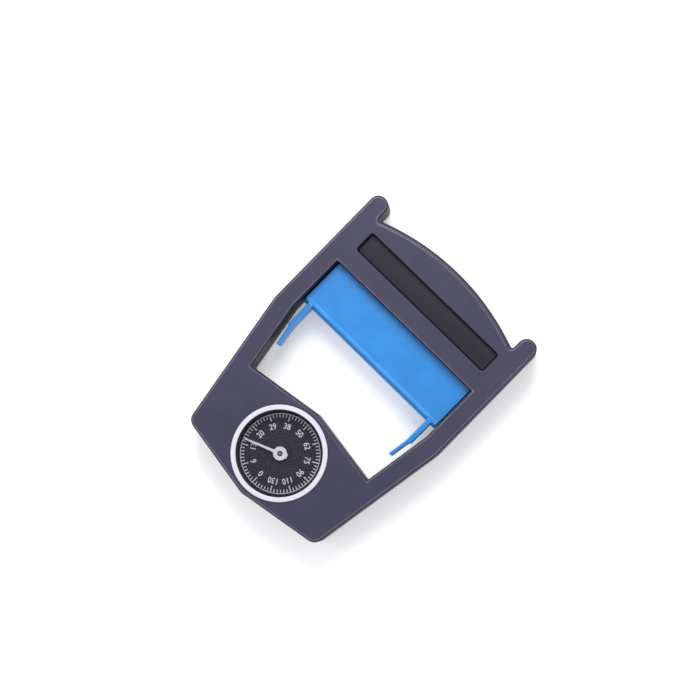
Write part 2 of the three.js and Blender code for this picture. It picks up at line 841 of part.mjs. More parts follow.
/** Middle line of the draw rod in a rail, from the spring plate down to its eye. */
const rodX = hornInnerX + windowWall + (railWidth - windowWall - outerWall) / 2 + rodShift;
const rodBendY = sideBendY;
const rodTopY = springPlateY + springPlateThickness + seatGap + rodNutHeight + rodThread;
const eyeY = dialY + rodEyeRise;
const eyeX = rodX - (rodBendY - eyeY) * railLean;
const linkSlope = (linkPeakY - eyeY) / eyeX;

/** Rivet places in the rack's head, side by side on the link. */
const rivetPlaces = [rackLeft + rackRivetInset, rackLeft + rackHeadWidth - rackRivetInset].map((x) => ({
  x,
  y: linkPeakY - Math.abs(x) * linkSlope,
}));

/** The holes for pins in a flat piece between z0 and z1. */
function pinHoles(places, z0, z1) {
  return places.map(({ x, y }) => rod(x, y, pinRadius + pinPlay, z0 - throughCut, z1 + throughCut));
}

function rack() {
  const bottom = dialY + (firstTooth - 0.5) * toothPitch;
  const headBottom = linkPeakY - linkWidth / 2 - linkGap;
  const headTop = headBottom + linkWidth + linkGap;
  let body = block(rackLeft, rackRootX, bottom, headTop - linkWidth / 2, rackZ, rackTopZ);
  for (let row = firstTooth; row <= lastTooth; row += 1) {
    body = join(body, plate(toothPoints(dialY + row * toothPitch, 0), rackZ, rackTopZ));
  }
  const head = block(rackLeft, rackLeft + rackHeadWidth, headBottom, headTop, rackZ, rackTopZ);
  return cut(join(body, head), ...pinHoles(rivetPlaces, rackZ, rackTopZ));
}

add('rack', rack(), brass);

// ---------------------------------------------------------------- linkage

const eyePlaces = [-1, 1].map((side) => ({ x: side * eyeX, y: eyeY }));

/** The flat link that joins both draw rods behind the dial and carries the rack. */
function drawLink() {
  const half = linkWidth / 2;
  const right = [
    new THREE.Vector2(0, linkPeakY - half),
    new THREE.Vector2(eyeX, eyeY - half),
    new THREE.Vector2(eyeX, eyeY + half),
    new THREE.Vector2(0, linkPeakY + half),
  ];
  const left = right.map((p) => new THREE.Vector2(-p.x, p.y)).reverse();
  const top = linkZ + linkThickness;
  const ends = eyePlaces.map(({ x, y }) => rod(x, y, rodEyeRadius, linkZ, top, 20));
  const strips = join(plate(right, linkZ, top), plate(left, linkZ, top));
  return cut(join(strips, ...ends), ...pinHoles([...eyePlaces, ...rivetPlaces], linkZ, top));
}

add('draw_link', drawLink(), steel);

/** A headed pin through pieces between z0 and z1; its far end is riveted over. */
function rivet(x, y, z0, z1) {
  const peenRadius = pinHeadRadius - pinPeen;
  return turned(
    [
      [0, z0 - pinHeadHeight],
      [pinHeadRadius, z0 - pinHeadHeight],
      [pinHeadRadius, z0 - touchGap],
      [pinRadius, z0 - touchGap],
      [pinRadius, z1 + touchGap],
      [peenRadius, z1 + touchGap],
      [peenRadius, z1 + pinHeadHeight],
      [0, z1 + pinHeadHeight],
    ],
    8,
    x,
    y,
  );
}

rivetPlaces.forEach(({ x, y }, i) => {
  add(`rack_rivet_${i + 1}`, rivet(x, y, linkZ, rackTopZ), steel);
});

/** A draw rod: threaded at the top, straight down its rail, leaning with it, flattened to an eye. */
function drawRod(side) {
  const low = new THREE.Vector3(side * eyeX, eyeY, middleZ);
  const bend = new THREE.Vector3(side * rodX, rodBendY, middleZ);
  const high = new THREE.Vector3(side * rodX, rodTopY, middleZ);
  const path = new THREE.CurvePath();
  const beforeBend = bend.clone().add(low.clone().sub(bend).setLength(rodBendEase));
  const afterBend = bend.clone().add(new THREE.Vector3(0, rodBendEase, 0));
  const start = low.clone().add(bend.clone().sub(low).setLength(rodEyeRadius * 0.7));
  path.add(new THREE.LineCurve3(start, beforeBend));
  path.add(new THREE.QuadraticBezierCurve3(beforeBend, bend, afterBend));
  path.add(new THREE.LineCurve3(afterBend, high));
  const section = new THREE.Shape();
  section.absarc(0, 0, rodRadius, 0, 2 * Math.PI);
  const bar = new THREE.ExtrudeGeometry(section, { steps: 12, curveSegments: 4, extrudePath: path });
  const eyeZ = middleZ - rodRadius + rodEyeFlat;
  const eye = rod(side * eyeX, eyeY, rodEyeRadius, eyeZ, middleZ + rodRadius, 20);
  const collarTop = springPlateY - seatGap;
  const collar = rodY(side * rodX, middleZ, rodNutRadius, collarTop - rodCollar, collarTop);
  return cut(join(solid(bar), eye, collar), ...pinHoles(eyePlaces, eyeZ, middleZ + rodRadius));
}

for (const side of [-1, 1]) {
  const hand = side < 0 ? 'left' : 'right';
  add(`draw_rod_${hand}`, drawRod(side), steel);
  const nutY = springPlateY + springPlateThickness + seatGap;
  const nutTop = nutY + rodNutHeight;
  const nut = rodY(side * rodX, middleZ, rodNutRadius, nutY, nutTop, 6);
  const thread = rodY(side * rodX, middleZ, rodRadius + pinPlay, nutY - throughCut, nutTop + throughCut);
  add(`rod_nut_${hand}`, cut(nut, thread), brass);
  add(`link_pin_${hand}`, rivet(side * eyeX, eyeY, linkZ, middleZ + rodRadius), steel);
}

// ---------------------------------------------------------------- springs, posts and spring plate

const springOuterRadius = pocketUnderZ - springFaceGap - middleZ;
const springInnerRadius = springOuterRadius - springWire;
const postRadius = springInnerRadius - postPlay;
const springBottomY = springPlateY + springPlateThickness + seatGap;
const palmInnerRadius = palmRadius - outerWall;
const springReach = springOffset + springOuterRadius;
const palmWallDrop = palmInnerRadius - Math.sqrt(palmInnerRadius ** 2 - springReach ** 2);
const palmWallY = palmPeakY - outerWall - palmWallDrop; // over the outer side of each spring
const postTopY = palmWallY - postSeatGap;
const springTopY = postTopY - postFlange - seatGap;
const postEndY = gripBottomY + gripWall + travelAhead + slideGap;

class SpringLine extends THREE.Curve {
  /** Middle line of the wire: closed turns at both ends and an even pitch between them. */
  getPoint(t, target = new THREE.Vector3()) {
    const radius = springOuterRadius - springWire / 2;
    const turn = t * springTurns;
    const deadPitch = springWire + springTurnGap;
    const activeTurns = springTurns - 2 * springDeadTurns;
    const low = springBottomY + springWire / 2;
    const high = springTopY - springWire / 2;
    const activeRise = high - low - 2 * springDeadTurns * deadPitch;
    const lower = Math.min(turn, springDeadTurns);
    const upper = Math.max(turn - springDeadTurns - activeTurns, 0);
    const active = turn - lower - upper;
    const y = low + (lower + upper) * deadPitch + (active / activeTurns) * activeRise;
    const angle = 2 * Math.PI * turn;
    return target.set(radius * Math.cos(angle), y, middleZ + radius * Math.sin(angle));
  }
}

function mainSpring(side) {
  const section = new THREE.Shape();
  section.absarc(0, 0, springWire / 2, 0, 2 * Math.PI);
  const coil = new THREE.ExtrudeGeometry(section, {
    steps: Math.round(springTurns * 10),
    curveSegments: 3,
    extrudePath: new SpringLine(),
  });
  return solid(coil.translate(side * springOffset, 0, 0));
}

/** A post that guides the spring plate; its flange is the spring's upper seat. */
function guidePost(side) {
  const x = side * springOffset;
  const flange = rodY(x, middleZ, springOuterRadius, postTopY - postFlange, postTopY, 24);
  return join(flange, rodY(x, middleZ, postRadius, postEndY, postTopY - postFlange / 2));
}

const gripScrewX = gripHalfWidth - cheekInset - cheekThickness / 2;

/** The steel plate on the grip's top that squeezes the springs; its ears reach into the rails. */
function springPlate() {
  const y0 = springPlateY;
  const y1 = y0 + springPlateThickness;
  const ear = rodX + earReach;
  const hole = (x, radius) => rodY(x, middleZ, radius, y0 - throughCut, y1 + throughCut);
  let body = join(
    block(-gripHalfWidth, gripHalfWidth, y0, y1, middleZ - gripHalfDepth, middleZ + gripHalfDepth),
    block(-ear, ear, y0, y1, middleZ - earDepth / 2, middleZ + earDepth / 2),
  );
  for (const side of [-1, 1]) {
    body = cut(
      body,
      hole(side * springOffset, postRadius + screwPlay),
      hole(side * rodX, rodRadius + rodPlay),
      hole(side * gripScrewX, screwRadius + screwPlay),
    );
  }
  return body;
}

add('spring_plate', springPlate(), steel);
for (const side of [-1, 1]) {
  const hand = side < 0 ? 'left' : 'right';
  add(`main_spring_${hand}`, mainSpring(side), springSteel);
  add(`guide_post_${hand}`, guidePost(side), steel);
}

// ---------------------------------------------------------------- grip

/** The grip: a channel open towards the palm rest, with a cheek near each end that runs on downwards. */
function grip() {
  const wall = gripWall;
  const radius = Math.min(gripCornerRadius, gripHalfDepth - wall / 2);
  const innerRadius = Math.max(radius - wall, gripLipRadius);
  const channel = rounded([
    { x: gripTopY, y: middleZ + gripHalfDepth, r: gripLipRadius },
    { x: gripBottomY, y: middleZ + gripHalfDepth, r: radius },
    { x: gripBottomY, y: middleZ - gripHalfDepth, r: radius },
    { x: gripTopY, y: middleZ - gripHalfDepth, r: gripLipRadius },
    { x: gripTopY, y: middleZ - gripHalfDepth + wall, r: gripLipRadius },
    { x: gripBottomY + wall, y: middleZ - gripHalfDepth + wall, r: innerRadius },
    { x: gripBottomY + wall, y: middleZ + gripHalfDepth - wall, r: innerRadius },
    { x: gripTopY, y: middleZ + gripHalfDepth - wall, r: gripLipRadius },
  ]);
  let body = barAlongX(channel, gripHalfWidth);
  const outer = gripHalfWidth - cheekInset;
  const inner = outer - cheekThickness;
  const footY = gripBottomY - cheekFoot;
  const toeY = footY - cheekToe;
  const toeLean = cheekToe * railLean;
  const toeInner = inner - cheekLean;
  const toeOuter = toeInner + toeThickness;
  const cheek = rounded([
    { x: inner, y: gripBottomY + wall, r: sharpestRadius },
    { x: toeInner, y: footY, r: toeStep / 4 },
    { x: toeInner - toeLean, y: toeY, r: toeThickness * 0.45 },
    { x: toeOuter - toeLean, y: toeY, r: toeThickness * 0.45 },
    { x: toeOuter, y: footY - toeStep / 2, r: toeStep / 4 },
    { x: outer - cheekLean, y: footY + toeStep / 2, r: toeStep * 0.4 },
    { x: outer, y: gripBottomY + wall, r: sharpestRadius },
  ]);
  const reach = gripHalfDepth - wall / 2;
  for (const side of [-1, 1]) {
    const points = side > 0 ? cheek : cheek.map((p) => new THREE.Vector2(-p.x, p.y)).reverse();
    const foot = plate(points, middleZ - cheekDepth / 2, middleZ + cheekDepth / 2);
    const [x0, x1] = side > 0 ? [inner, outer] : [-outer, -inner];
    const web = block(x0, x1, gripBottomY + wall / 2, gripTopY, middleZ - reach, middleZ + reach);
    const [low, high] = [gripTopY - gripScrewBite - throughCut, gripTopY + throughCut];
    const hole = rodY(side * gripScrewX, middleZ, screwRadius + screwPlay, low, high);
    body = cut(join(body, web, foot), hole);
  }
  return body;
}

add('grip', grip(), gripPlastic);

for (const side of [-1, 1]) {
  const hand = side < 0 ? 'left' : 'right';
  const headY = springPlateY + springPlateThickness + seatGap + screwHeadHeight;
  const length = headY - gripTopY + gripScrewBite;
  const body = screw(0, 0, 0, screwHeadRadius, screwHeadHeight, screwRadius, length);
  const turnedDown = shell(body).rotateX(Math.PI / 2);
  add(`grip_screw_${hand}`, turnedDown.translate(side * gripScrewX, headY, middleZ), darkSteel);
}

// ---------------------------------------------------------------- movement

/** One of the two plates that carry the arbor. */
function movementPlate(z0) {
  const corners = [
    { x: -plateHalfWidth, y: dialY - plateBelow, r: plateCornerRadius },
    { x: plateHalfWidth, y: dialY - plateBelow, r: plateCornerRadius },
    { x: plateHalfWidth, y: dialY + plateAbove, r: plateCornerRadius },
    { x: -plateHalfWidth, y: dialY + plateAbove, r: plateCornerRadius },
  ];
  const z1 = z0 + plateThickness;
  const [low, high] = [z0 - throughCut, z1 + throughCut];
  const hole = rod(0, dialY, bushRadius + pinPlay, low, high);
  return cut(plate(rounded(corners), z0, z1), hole, ...spacerHoles(low, high));
}

/** A flanged bush in the movement plate that starts at plateZ; outwards is 1 for a flange on its front. */
function arborBush(plateZ, outwards) {
  const bore = arborRadius + pinPlay;
  const flange = bushRadius + bushFlangeReach;
  const frontFace = plateZ + plateThickness;
  const [flangeFace, farFace] = outwards > 0 ? [frontFace, plateZ] : [plateZ, frontFace];
  const seatZ = flangeFace + outwards * clampGap;
  const endZ = flangeFace + outwards * bushFlange;
  const profile = [
    [bore, farFace],
    [bushRadius, farFace],
    [bushRadius, seatZ],
    [flange, seatZ],
    [flange, endZ],
    [bore, endZ],
    [bore, farFace],
  ];
  return dialTurned(outwards > 0 ? profile : profile.reverse(), 16);
}

add('movement_back_plate', movementPlate(backPlateZ), brass);
add('movement_front_plate', movementPlate(frontPlateZ), brass);
add('back_bush', arborBush(backPlateZ, -1), brass);
add('front_bush', arborBush(frontPlateZ, 1), brass);

for (const { label, x, y } of spacerPlaces) {
  const z0 = backPlateTopZ + touchGap;
  const z1 = frontPlateZ - touchGap;
  const bore = machineScrewRadius + screwPlay;
  add(`spacer_${label}`, turned(ringProfile(bore, spacerRadius, z0, z1), 12, x, y), steel);
  const headZ = backPlateZ - touchGap - machineHeadHeight;
  const endZ = caseFloorZ + caseFloor - 2 * touchGap;
  add(
    `movement_screw_${label}`,
    screw(x, y, headZ, machineHeadRadius, machineHeadHeight, machineScrewRadius, endZ),
    darkSteel,
  );
}

// A nylon block keeps the rack against the pinion.
const guideRight = rackLeft - guidePlay;
add(
  'rack_guide',
  block(
    guideRight - guideWidth,
    guideRight,
    dialY - guideBelow,
    dialY + guideAbove,
    backPlateTopZ + pinPlay,
    frontPlateZ - pinPlay,
  ),
  nylon,
);

const hairspringZ = backPlateTopZ + hairspringRise;
const hairspringTopZ = hairspringZ + hairspringWidth;

/** A flat spiral spring that takes up the backlash. */
function hairspring() {
  const count = hairspringTurns * 14;
  const edge = (offset) =>
    Array.from({ length: count + 1 }, (_, i) => {
      const angle = (2 * Math.PI * hairspringTurns * i) / count;
      const radius = hairspringInner + ((hairspringOuter - hairspringInner) * i) / count + offset;
      return new THREE.Vector2(radius * Math.cos(angle), radius * Math.sin(angle));
    });
  const half = hairspringThickness / 2;
  const points = [...edge(half), ...edge(-half).reverse()];
  return plate(points, hairspringZ, hairspringTopZ).translate(0, dialY, 0);
}

const colletOuter = hairspringInner - hairspringThickness - touchGap;
add('hairspring', hairspring(), springSteel);
add(
  'hairspring_collet',
  dialTurned(ringProfile(arborRadius + colletPlay, colletOuter, hairspringZ, hairspringTopZ), 16),
  brass,
);

const studX = hairspringOuter + studOffset;
add(
  'hairspring_stud',
  rod(studX, dialY, studRadius, backPlateTopZ + touchGap, hairspringTopZ + seatGap),
  brass,
);

export default group;
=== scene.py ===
"""Looks of the hand dynamometer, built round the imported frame.

Lengths in this script are millimetres until a mesh is made; make_object() writes metres.
X runs across the hand, +Y towards the palm rest and +Z out of the dial face.
"""

import math

import bmesh
import bpy
from mathutils import Matrix, Vector


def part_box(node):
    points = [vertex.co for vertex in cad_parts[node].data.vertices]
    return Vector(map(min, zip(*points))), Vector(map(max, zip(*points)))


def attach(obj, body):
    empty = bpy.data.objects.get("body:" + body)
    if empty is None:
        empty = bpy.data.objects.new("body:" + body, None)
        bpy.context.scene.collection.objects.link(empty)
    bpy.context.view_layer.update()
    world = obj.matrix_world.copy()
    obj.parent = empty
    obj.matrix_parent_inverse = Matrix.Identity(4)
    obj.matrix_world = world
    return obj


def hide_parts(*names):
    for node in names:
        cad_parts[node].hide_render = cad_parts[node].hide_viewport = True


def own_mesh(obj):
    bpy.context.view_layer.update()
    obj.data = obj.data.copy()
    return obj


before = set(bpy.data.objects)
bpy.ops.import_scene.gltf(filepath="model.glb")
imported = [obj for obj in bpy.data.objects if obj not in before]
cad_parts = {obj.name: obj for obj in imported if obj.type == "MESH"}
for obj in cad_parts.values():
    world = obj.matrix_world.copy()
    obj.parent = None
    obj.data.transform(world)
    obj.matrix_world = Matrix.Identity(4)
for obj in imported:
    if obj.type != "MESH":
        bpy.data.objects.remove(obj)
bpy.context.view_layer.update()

MM = 0.001

# ---------------------------------------------------------------- sizes shared with the frame


def node_box(name):
    """The lowest and highest corners of a CAD node, in millimetres."""
    low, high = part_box(name)
    return low / MM, high / MM


housing_low, housing_high = node_box("front_shell")
rear_high = node_box("rear_shell")[1]
grip_low, grip_high = node_box("grip")
bezel_low, bezel_high = node_box("bezel_ring")
case_low, case_high = node_box("dial_case")
dial_low, dial_high = node_box("dial_plate")
crystal_low, crystal_high = node_box("crystal")
pointer_low, pointer_high = node_box("pointer")

TOP_Y = housing_high.y
BOTTOM_Y = housing_low.y
HALF_WIDTH = housing_high.x
FACE_Z = housing_high.z
MIDDLE_Z = (housing_low.z + rear_high.z) / 2
DIAL_Y = (bezel_low.y + bezel_high.y) / 2

# Housing outline
RAIL_WIDTH = 11
LOW_RAIL_WIDTH = 11.45  # below the bend in the sides
HORN_TIP_RADIUS = 5.4
PALM_DROP = 1.6  # from the horn tips down to the palm rest's highest point
PALM_RADIUS = 140
PALM_CORNER_RADIUS = 1.2
SIDE_STRAIGHT = 81  # from the horn tips down to the bend in the sides
SIDE_BEND_RADIUS = 12
BOTTOM_HALF_WIDTH = 48.6  # at the two lower corners
BOTTOM_CORNER_RADIUS = 6
BOTTOM_APEX_RADIUS = 11
ROOF_ANGLE = math.radians(9.4)  # of the shallow V at the bottom
SILL_ANGLE = math.radians(8.6)  # of the same V at the window's sill
BRIDGE_DEPTH = 43  # from the horn tips down to the window
BLOCK_DEPTH = 59.6  # from the bottom up to the sill
WINDOW_CORNER_RADIUS = 1
WINDOW_BEND_RADIUS = 8
SILL_PEAK_RADIUS = 8
EDGE_FILLET = 1.8
PALM_FILLET = 3.2
WINDOW_FILLET = 1.5
PARTING_CHAMFER = 0.25
OUTER_WALL = 2.4
WINDOW_WALL = 2.2
FACE_WALL = 2.4

# Pocket in the bridge
POCKET_TOP = 18.2  # below the horn tips
POCKET_HEIGHT = 13.4
POCKET_SIDE_MARGIN = 2.5
POCKET_DEPTH = 3
POCKET_FLOOR = 1.8  # thickness of plastic round and under the pocket
POCKET_RAMP = 1.4  # how far the lower side leans in, then the upper side and the ends
POCKET_STEEP = 0.9
POCKET_END = 1.5
POCKET_CORNER = 1.6
POCKET_STEPS = 14

HORN_INNER_X = HALF_WIDTH - RAIL_WIDTH
WINDOW_TOP_Y = TOP_Y - BRIDGE_DEPTH
ROOF_SLOPE = math.tan(ROOF_ANGLE)
POCKET_TOP_Y = TOP_Y - POCKET_TOP
POCKET_BOTTOM_Y = POCKET_TOP_Y - POCKET_HEIGHT
POCKET_HALF_WIDTH = HORN_INNER_X - POCKET_SIDE_MARGIN
POCKET_UNDER_Z = FACE_Z - POCKET_DEPTH - POCKET_FLOOR

# ---------------------------------------------------------------- outlines


class Corner:
    """A corner of an outline: its place, its rounding and the number of steps round it."""

    def __init__(self, x, y, r, steps=8, edge=0.0):
        self.x, self.y, self.r, self.steps = x, y, r, steps
        self.edge = edge  # width that the edge from here to the next corner is given, where it matters


def crossing(p, q, r, s):
    """Where the line through p and q meets the line through r and s."""
    dx, dy = q[0] - p[0], q[1] - p[1]
    ex, ey = s[0] - r[0], s[1] - r[1]
    t = ((r[0] - p[0]) * ey - (r[1] - p[1]) * ex) / (dx * ey - dy * ex)
    return p[0] + t * dx, p[1] + t * dy


def inset(corners, distance):
    """Corners moved inwards; distance is a number, or a function of the edge's own width."""
    count = len(corners)
    amount = distance if callable(distance) else (lambda edge: distance)
    lines = []
    for i, a in enumerate(corners):
        b = corners[(i + 1) % count]
        length = math.hypot(b.x - a.x, b.y - a.y)
        d = amount(a.edge)
        nx, ny = -(b.y - a.y) / length * d, (b.x - a.x) / length * d
        lines.append(((a.x + nx, a.y + ny), (b.x + nx, b.y + ny)))
    moved = []
    for i, c in enumerate(corners):
        before, after = lines[i - 1], lines[i]
        p, n = corners[i - 1], corners[(i + 1) % count]
        turn = (c.x - p.x) * (n.y - c.y) - (c.y - p.y) * (n.x - c.x)
        d = (amount(corners[i - 1].edge) + amount(c.edge)) / 2
        r = max(c.r - math.copysign(d, turn), 0.05)
        x, y = crossing(*before, *after)
        moved.append(Corner(x, y, r, c.steps, c.edge))
    return moved


def rounded(corners):
    """Points round an outline, with each one's edge width: (x, y, width)."""
    count = len(corners)
    points = []
    for i, c in enumerate(corners):
        here = Vector((c.x, c.y))
        before, after = corners[i - 1], corners[(i + 1) % count]
        inward = (Vector((before.x, before.y)) - here).normalized()
        outward = (Vector((after.x, after.y)) - here).normalized()
        half = inward.angle(outward) / 2
        centre = here + (inward + outward).normalized() * (c.r / math.sin(half))
        start = here + inward * (c.r / math.tan(half)) - centre
        turn = math.pi - 2 * half
        side = -math.copysign(1, start.x * inward.y - start.y * inward.x)
        for k in range(c.steps + 1):
            share = k / c.steps
            spoke = Matrix.Rotation(side * turn * share, 2) @ start
            width = before.edge + (c.edge - before.edge) * share * share * (3 - 2 * share)
            points.append((centre.x + spoke.x, centre.y + spoke.y, width))
    return points


def mirrored(half):
    """An outline given for x >= 0 from the bottom to the top of the middle line, and its mirror image."""
    count = len(half)
    left = []
    for i in range(count - 1, -1, -1):
        c = half[i]
        if c.x > 0:
            left.append(Corner(-c.x, c.y, c.r, c.steps, half[i - 1].edge))
    ends_on_axis = half[-1].x == 0
    if ends_on_axis:
        half[-1].edge = half[-2].edge
    return half + left


PALM_HALF_ANGLE = math.asin((HORN_INNER_X - 2 * PALM_CORNER_RADIUS) / PALM_RADIUS)
PALM_PEAK_Y = TOP_Y - PALM_DROP
PALM_VERTEX_Y = PALM_PEAK_Y + PALM_RADIUS * (1 / math.cos(PALM_HALF_ANGLE) - 1)
PALM_CORNER_Y = PALM_VERTEX_Y - HORN_INNER_X * math.tan(PALM_HALF_ANGLE)
BOTTOM_VERTEX_Y = BOTTOM_Y - BOTTOM_APEX_RADIUS * (1 / math.cos(ROOF_ANGLE) - 1)
SIDE_BEND_Y = TOP_Y - SIDE_STRAIGHT
BOTTOM_CORNER_Y = BOTTOM_VERTEX_Y + BOTTOM_HALF_WIDTH * ROOF_SLOPE
RAIL_LEAN = (HALF_WIDTH - BOTTOM_HALF_WIDTH) / (SIDE_BEND_Y - BOTTOM_CORNER_Y)


def housing_outline():
    return mirrored([
        Corner(0, BOTTOM_VERTEX_Y, BOTTOM_APEX_RADIUS, 10, EDGE_FILLET),
        Corner(BOTTOM_HALF_WIDTH, BOTTOM_CORNER_Y, BOTTOM_CORNER_RADIUS, 16, EDGE_FILLET),
        Corner(HALF_WIDTH, SIDE_BEND_Y, SIDE_BEND_RADIUS, 10, EDGE_FILLET),
        Corner(HALF_WIDTH, TOP_Y, HORN_TIP_RADIUS, 20, EDGE_FILLET),
        Corner(HORN_INNER_X, TOP_Y, HORN_TIP_RADIUS, 20, EDGE_FILLET),
        Corner(HORN_INNER_X, PALM_CORNER_Y, PALM_CORNER_RADIUS, 10, PALM_FILLET),
        Corner(0, PALM_VERTEX_Y, PALM_RADIUS, 64, PALM_FILLET),
    ])


def window_outline():
    """The window's sides run parallel to the housing's, a rail's width inside them."""
    inner = inset(housing_outline(), LOW_RAIL_WIDTH)
    low, side = (inner[1].x, inner[1].y), (inner[2].x, inner[2].y)
    bend = crossing(low, side, (HORN_INNER_X, BOTTOM_Y), (HORN_INNER_X, TOP_Y))
    peak = BOTTOM_Y + BLOCK_DEPTH + SILL_PEAK_RADIUS * (1 / math.cos(SILL_ANGLE) - 1)
    x, y = crossing(low, bend, (0, peak), (1, peak - math.tan(SILL_ANGLE)))
    return mirrored([
        Corner(0, peak, SILL_PEAK_RADIUS, 8),
        Corner(x, y, WINDOW_CORNER_RADIUS, 8),
        Corner(bend[0], bend[1], WINDOW_BEND_RADIUS, 8),
        Corner(HORN_INNER_X, WINDOW_TOP_Y, WINDOW_CORNER_RADIUS, 8),
    ])


# ---------------------------------------------------------------- mesh making


def make_object(name, bm):
    """A Blender object from a bmesh in millimetres."""
    bmesh.ops.scale(bm, vec=(MM, MM, MM), verts=bm.verts)
    bmesh.ops.recalc_face_normals(bm, faces=bm.faces)
    mesh = bpy.data.meshes.new(name)
    bm.to_mesh(mesh)
    bm.free()
    obj = bpy.data.objects.new(name, mesh)
    bpy.context.scene.collection.objects.link(obj)
    return obj


def loft(name, loops):
    """A solid through loops of points that all have the same count, with a face at each end."""
    bm = bmesh.new()
    rows = [[bm.verts.new(p) for p in loop] for loop in loops]
    count = len(rows[0])
    for lower, upper in zip(rows, rows[1:]):
        for i in range(count):
            j = (i + 1) % count
            bm.faces.new((lower[i], lower[j], upper[j], upper[i]))
    bm.faces.new(list(reversed(rows[0])))
    bm.faces.new(rows[-1])
    return make_object(name, bm)


def lathe(name, profile, x, y, sides):
    """A solid turned about Z at (x, y) from a closed profile of (radius, height) points."""
    bm = bmesh.new()
    rings = []
    for radius, height in profile:
        if radius < 1e-6:
            rings.append([bm.verts.new((0, 0, height))])
            continue
        turn = 2 * math.pi / sides
        ring = [(radius * math.cos(k * turn), radius * math.sin(k * turn), height) for k in range(sides)]
        rings.append([bm.verts.new(p) for p in ring])
    on_axis = len(rings[0]) == 1
    pairs = list(zip(rings, rings[1:]))
    if not on_axis:
        pairs.append((rings[-1], rings[0]))
    for lower, upper in pairs:
        if len(lower) == 1 and len(upper) == 1:
            continue
        for k in range(sides):
            n = (k + 1) % sides
            corners = [
                lower[k % len(lower)], lower[n % len(lower)], upper[n % len(upper)], upper[k % len(upper)],
            ]
            bm.faces.new(list(dict.fromkeys(corners)))
    bmesh.ops.translate(bm, vec=(x, y, 0), verts=bm.verts)
    return make_object(name, bm)


def box(name, x0, x1, y0, y1, z0, z1):
    """A block between two places along each axis."""
    bm = bmesh.new()
    bmesh.ops.create_cube(bm, size=1)
    bmesh.ops.scale(bm, vec=(x1 - x0, y1 - y0, z1 - z0), verts=bm.verts)
    bmesh.ops.translate(bm, vec=((x0 + x1) / 2, (y0 + y1) / 2, (z0 + z1) / 2), verts=bm.verts)
    return make_object(name, bm)


def combine(target, operation, tools):
    """Joins tools to target or cuts them from it, and removes the tools."""
    for tool in tools:
        modifier = target.modifiers.new("bool", "BOOLEAN")
        modifier.operation = operation
        modifier.solver = "MANIFOLD"
        modifier.object = tool
    bpy.context.view_layer.update()
    evaluated = target.evaluated_get(bpy.context.evaluated_depsgraph_get())
    mesh = bpy.data.meshes.new_from_object(evaluated)
    target.modifiers.clear()
    old = target.data
    target.data = mesh
    mesh.name = target.name
    bpy.data.meshes.remove(old)
    for tool in tools:
        bpy.data.objects.remove(tool)
    return target


def cut(target, *tools):
    return combine(target, "DIFFERENCE", tools)


def join(target, *tools):
    return combine(target, "UNION", tools)


def smooth(obj, angle):
    """Smooth shading with sharp edges above an angle in degrees, and flat faces kept flat."""
    mesh = obj.data
    mesh.shade_smooth()
    mesh.set_sharp_from_angle(angle=math.radians(angle))
    weighted = obj.modifiers.new("weighted", "WEIGHTED_NORMAL")
    weighted.keep_sharp = True
    weighted.weight = 90
    return obj


def piece(obj, body, slot_name, *nodes):
    """Gives a piece its body, slot and material, and the CAD nodes that it stands for."""
    obj.data.materials.clear()
    obj.data.materials.append(materials[slot_name])
    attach(obj, body)
    if nodes:
        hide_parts(*nodes)
    return obj


# ---------------------------------------------------------------- materials


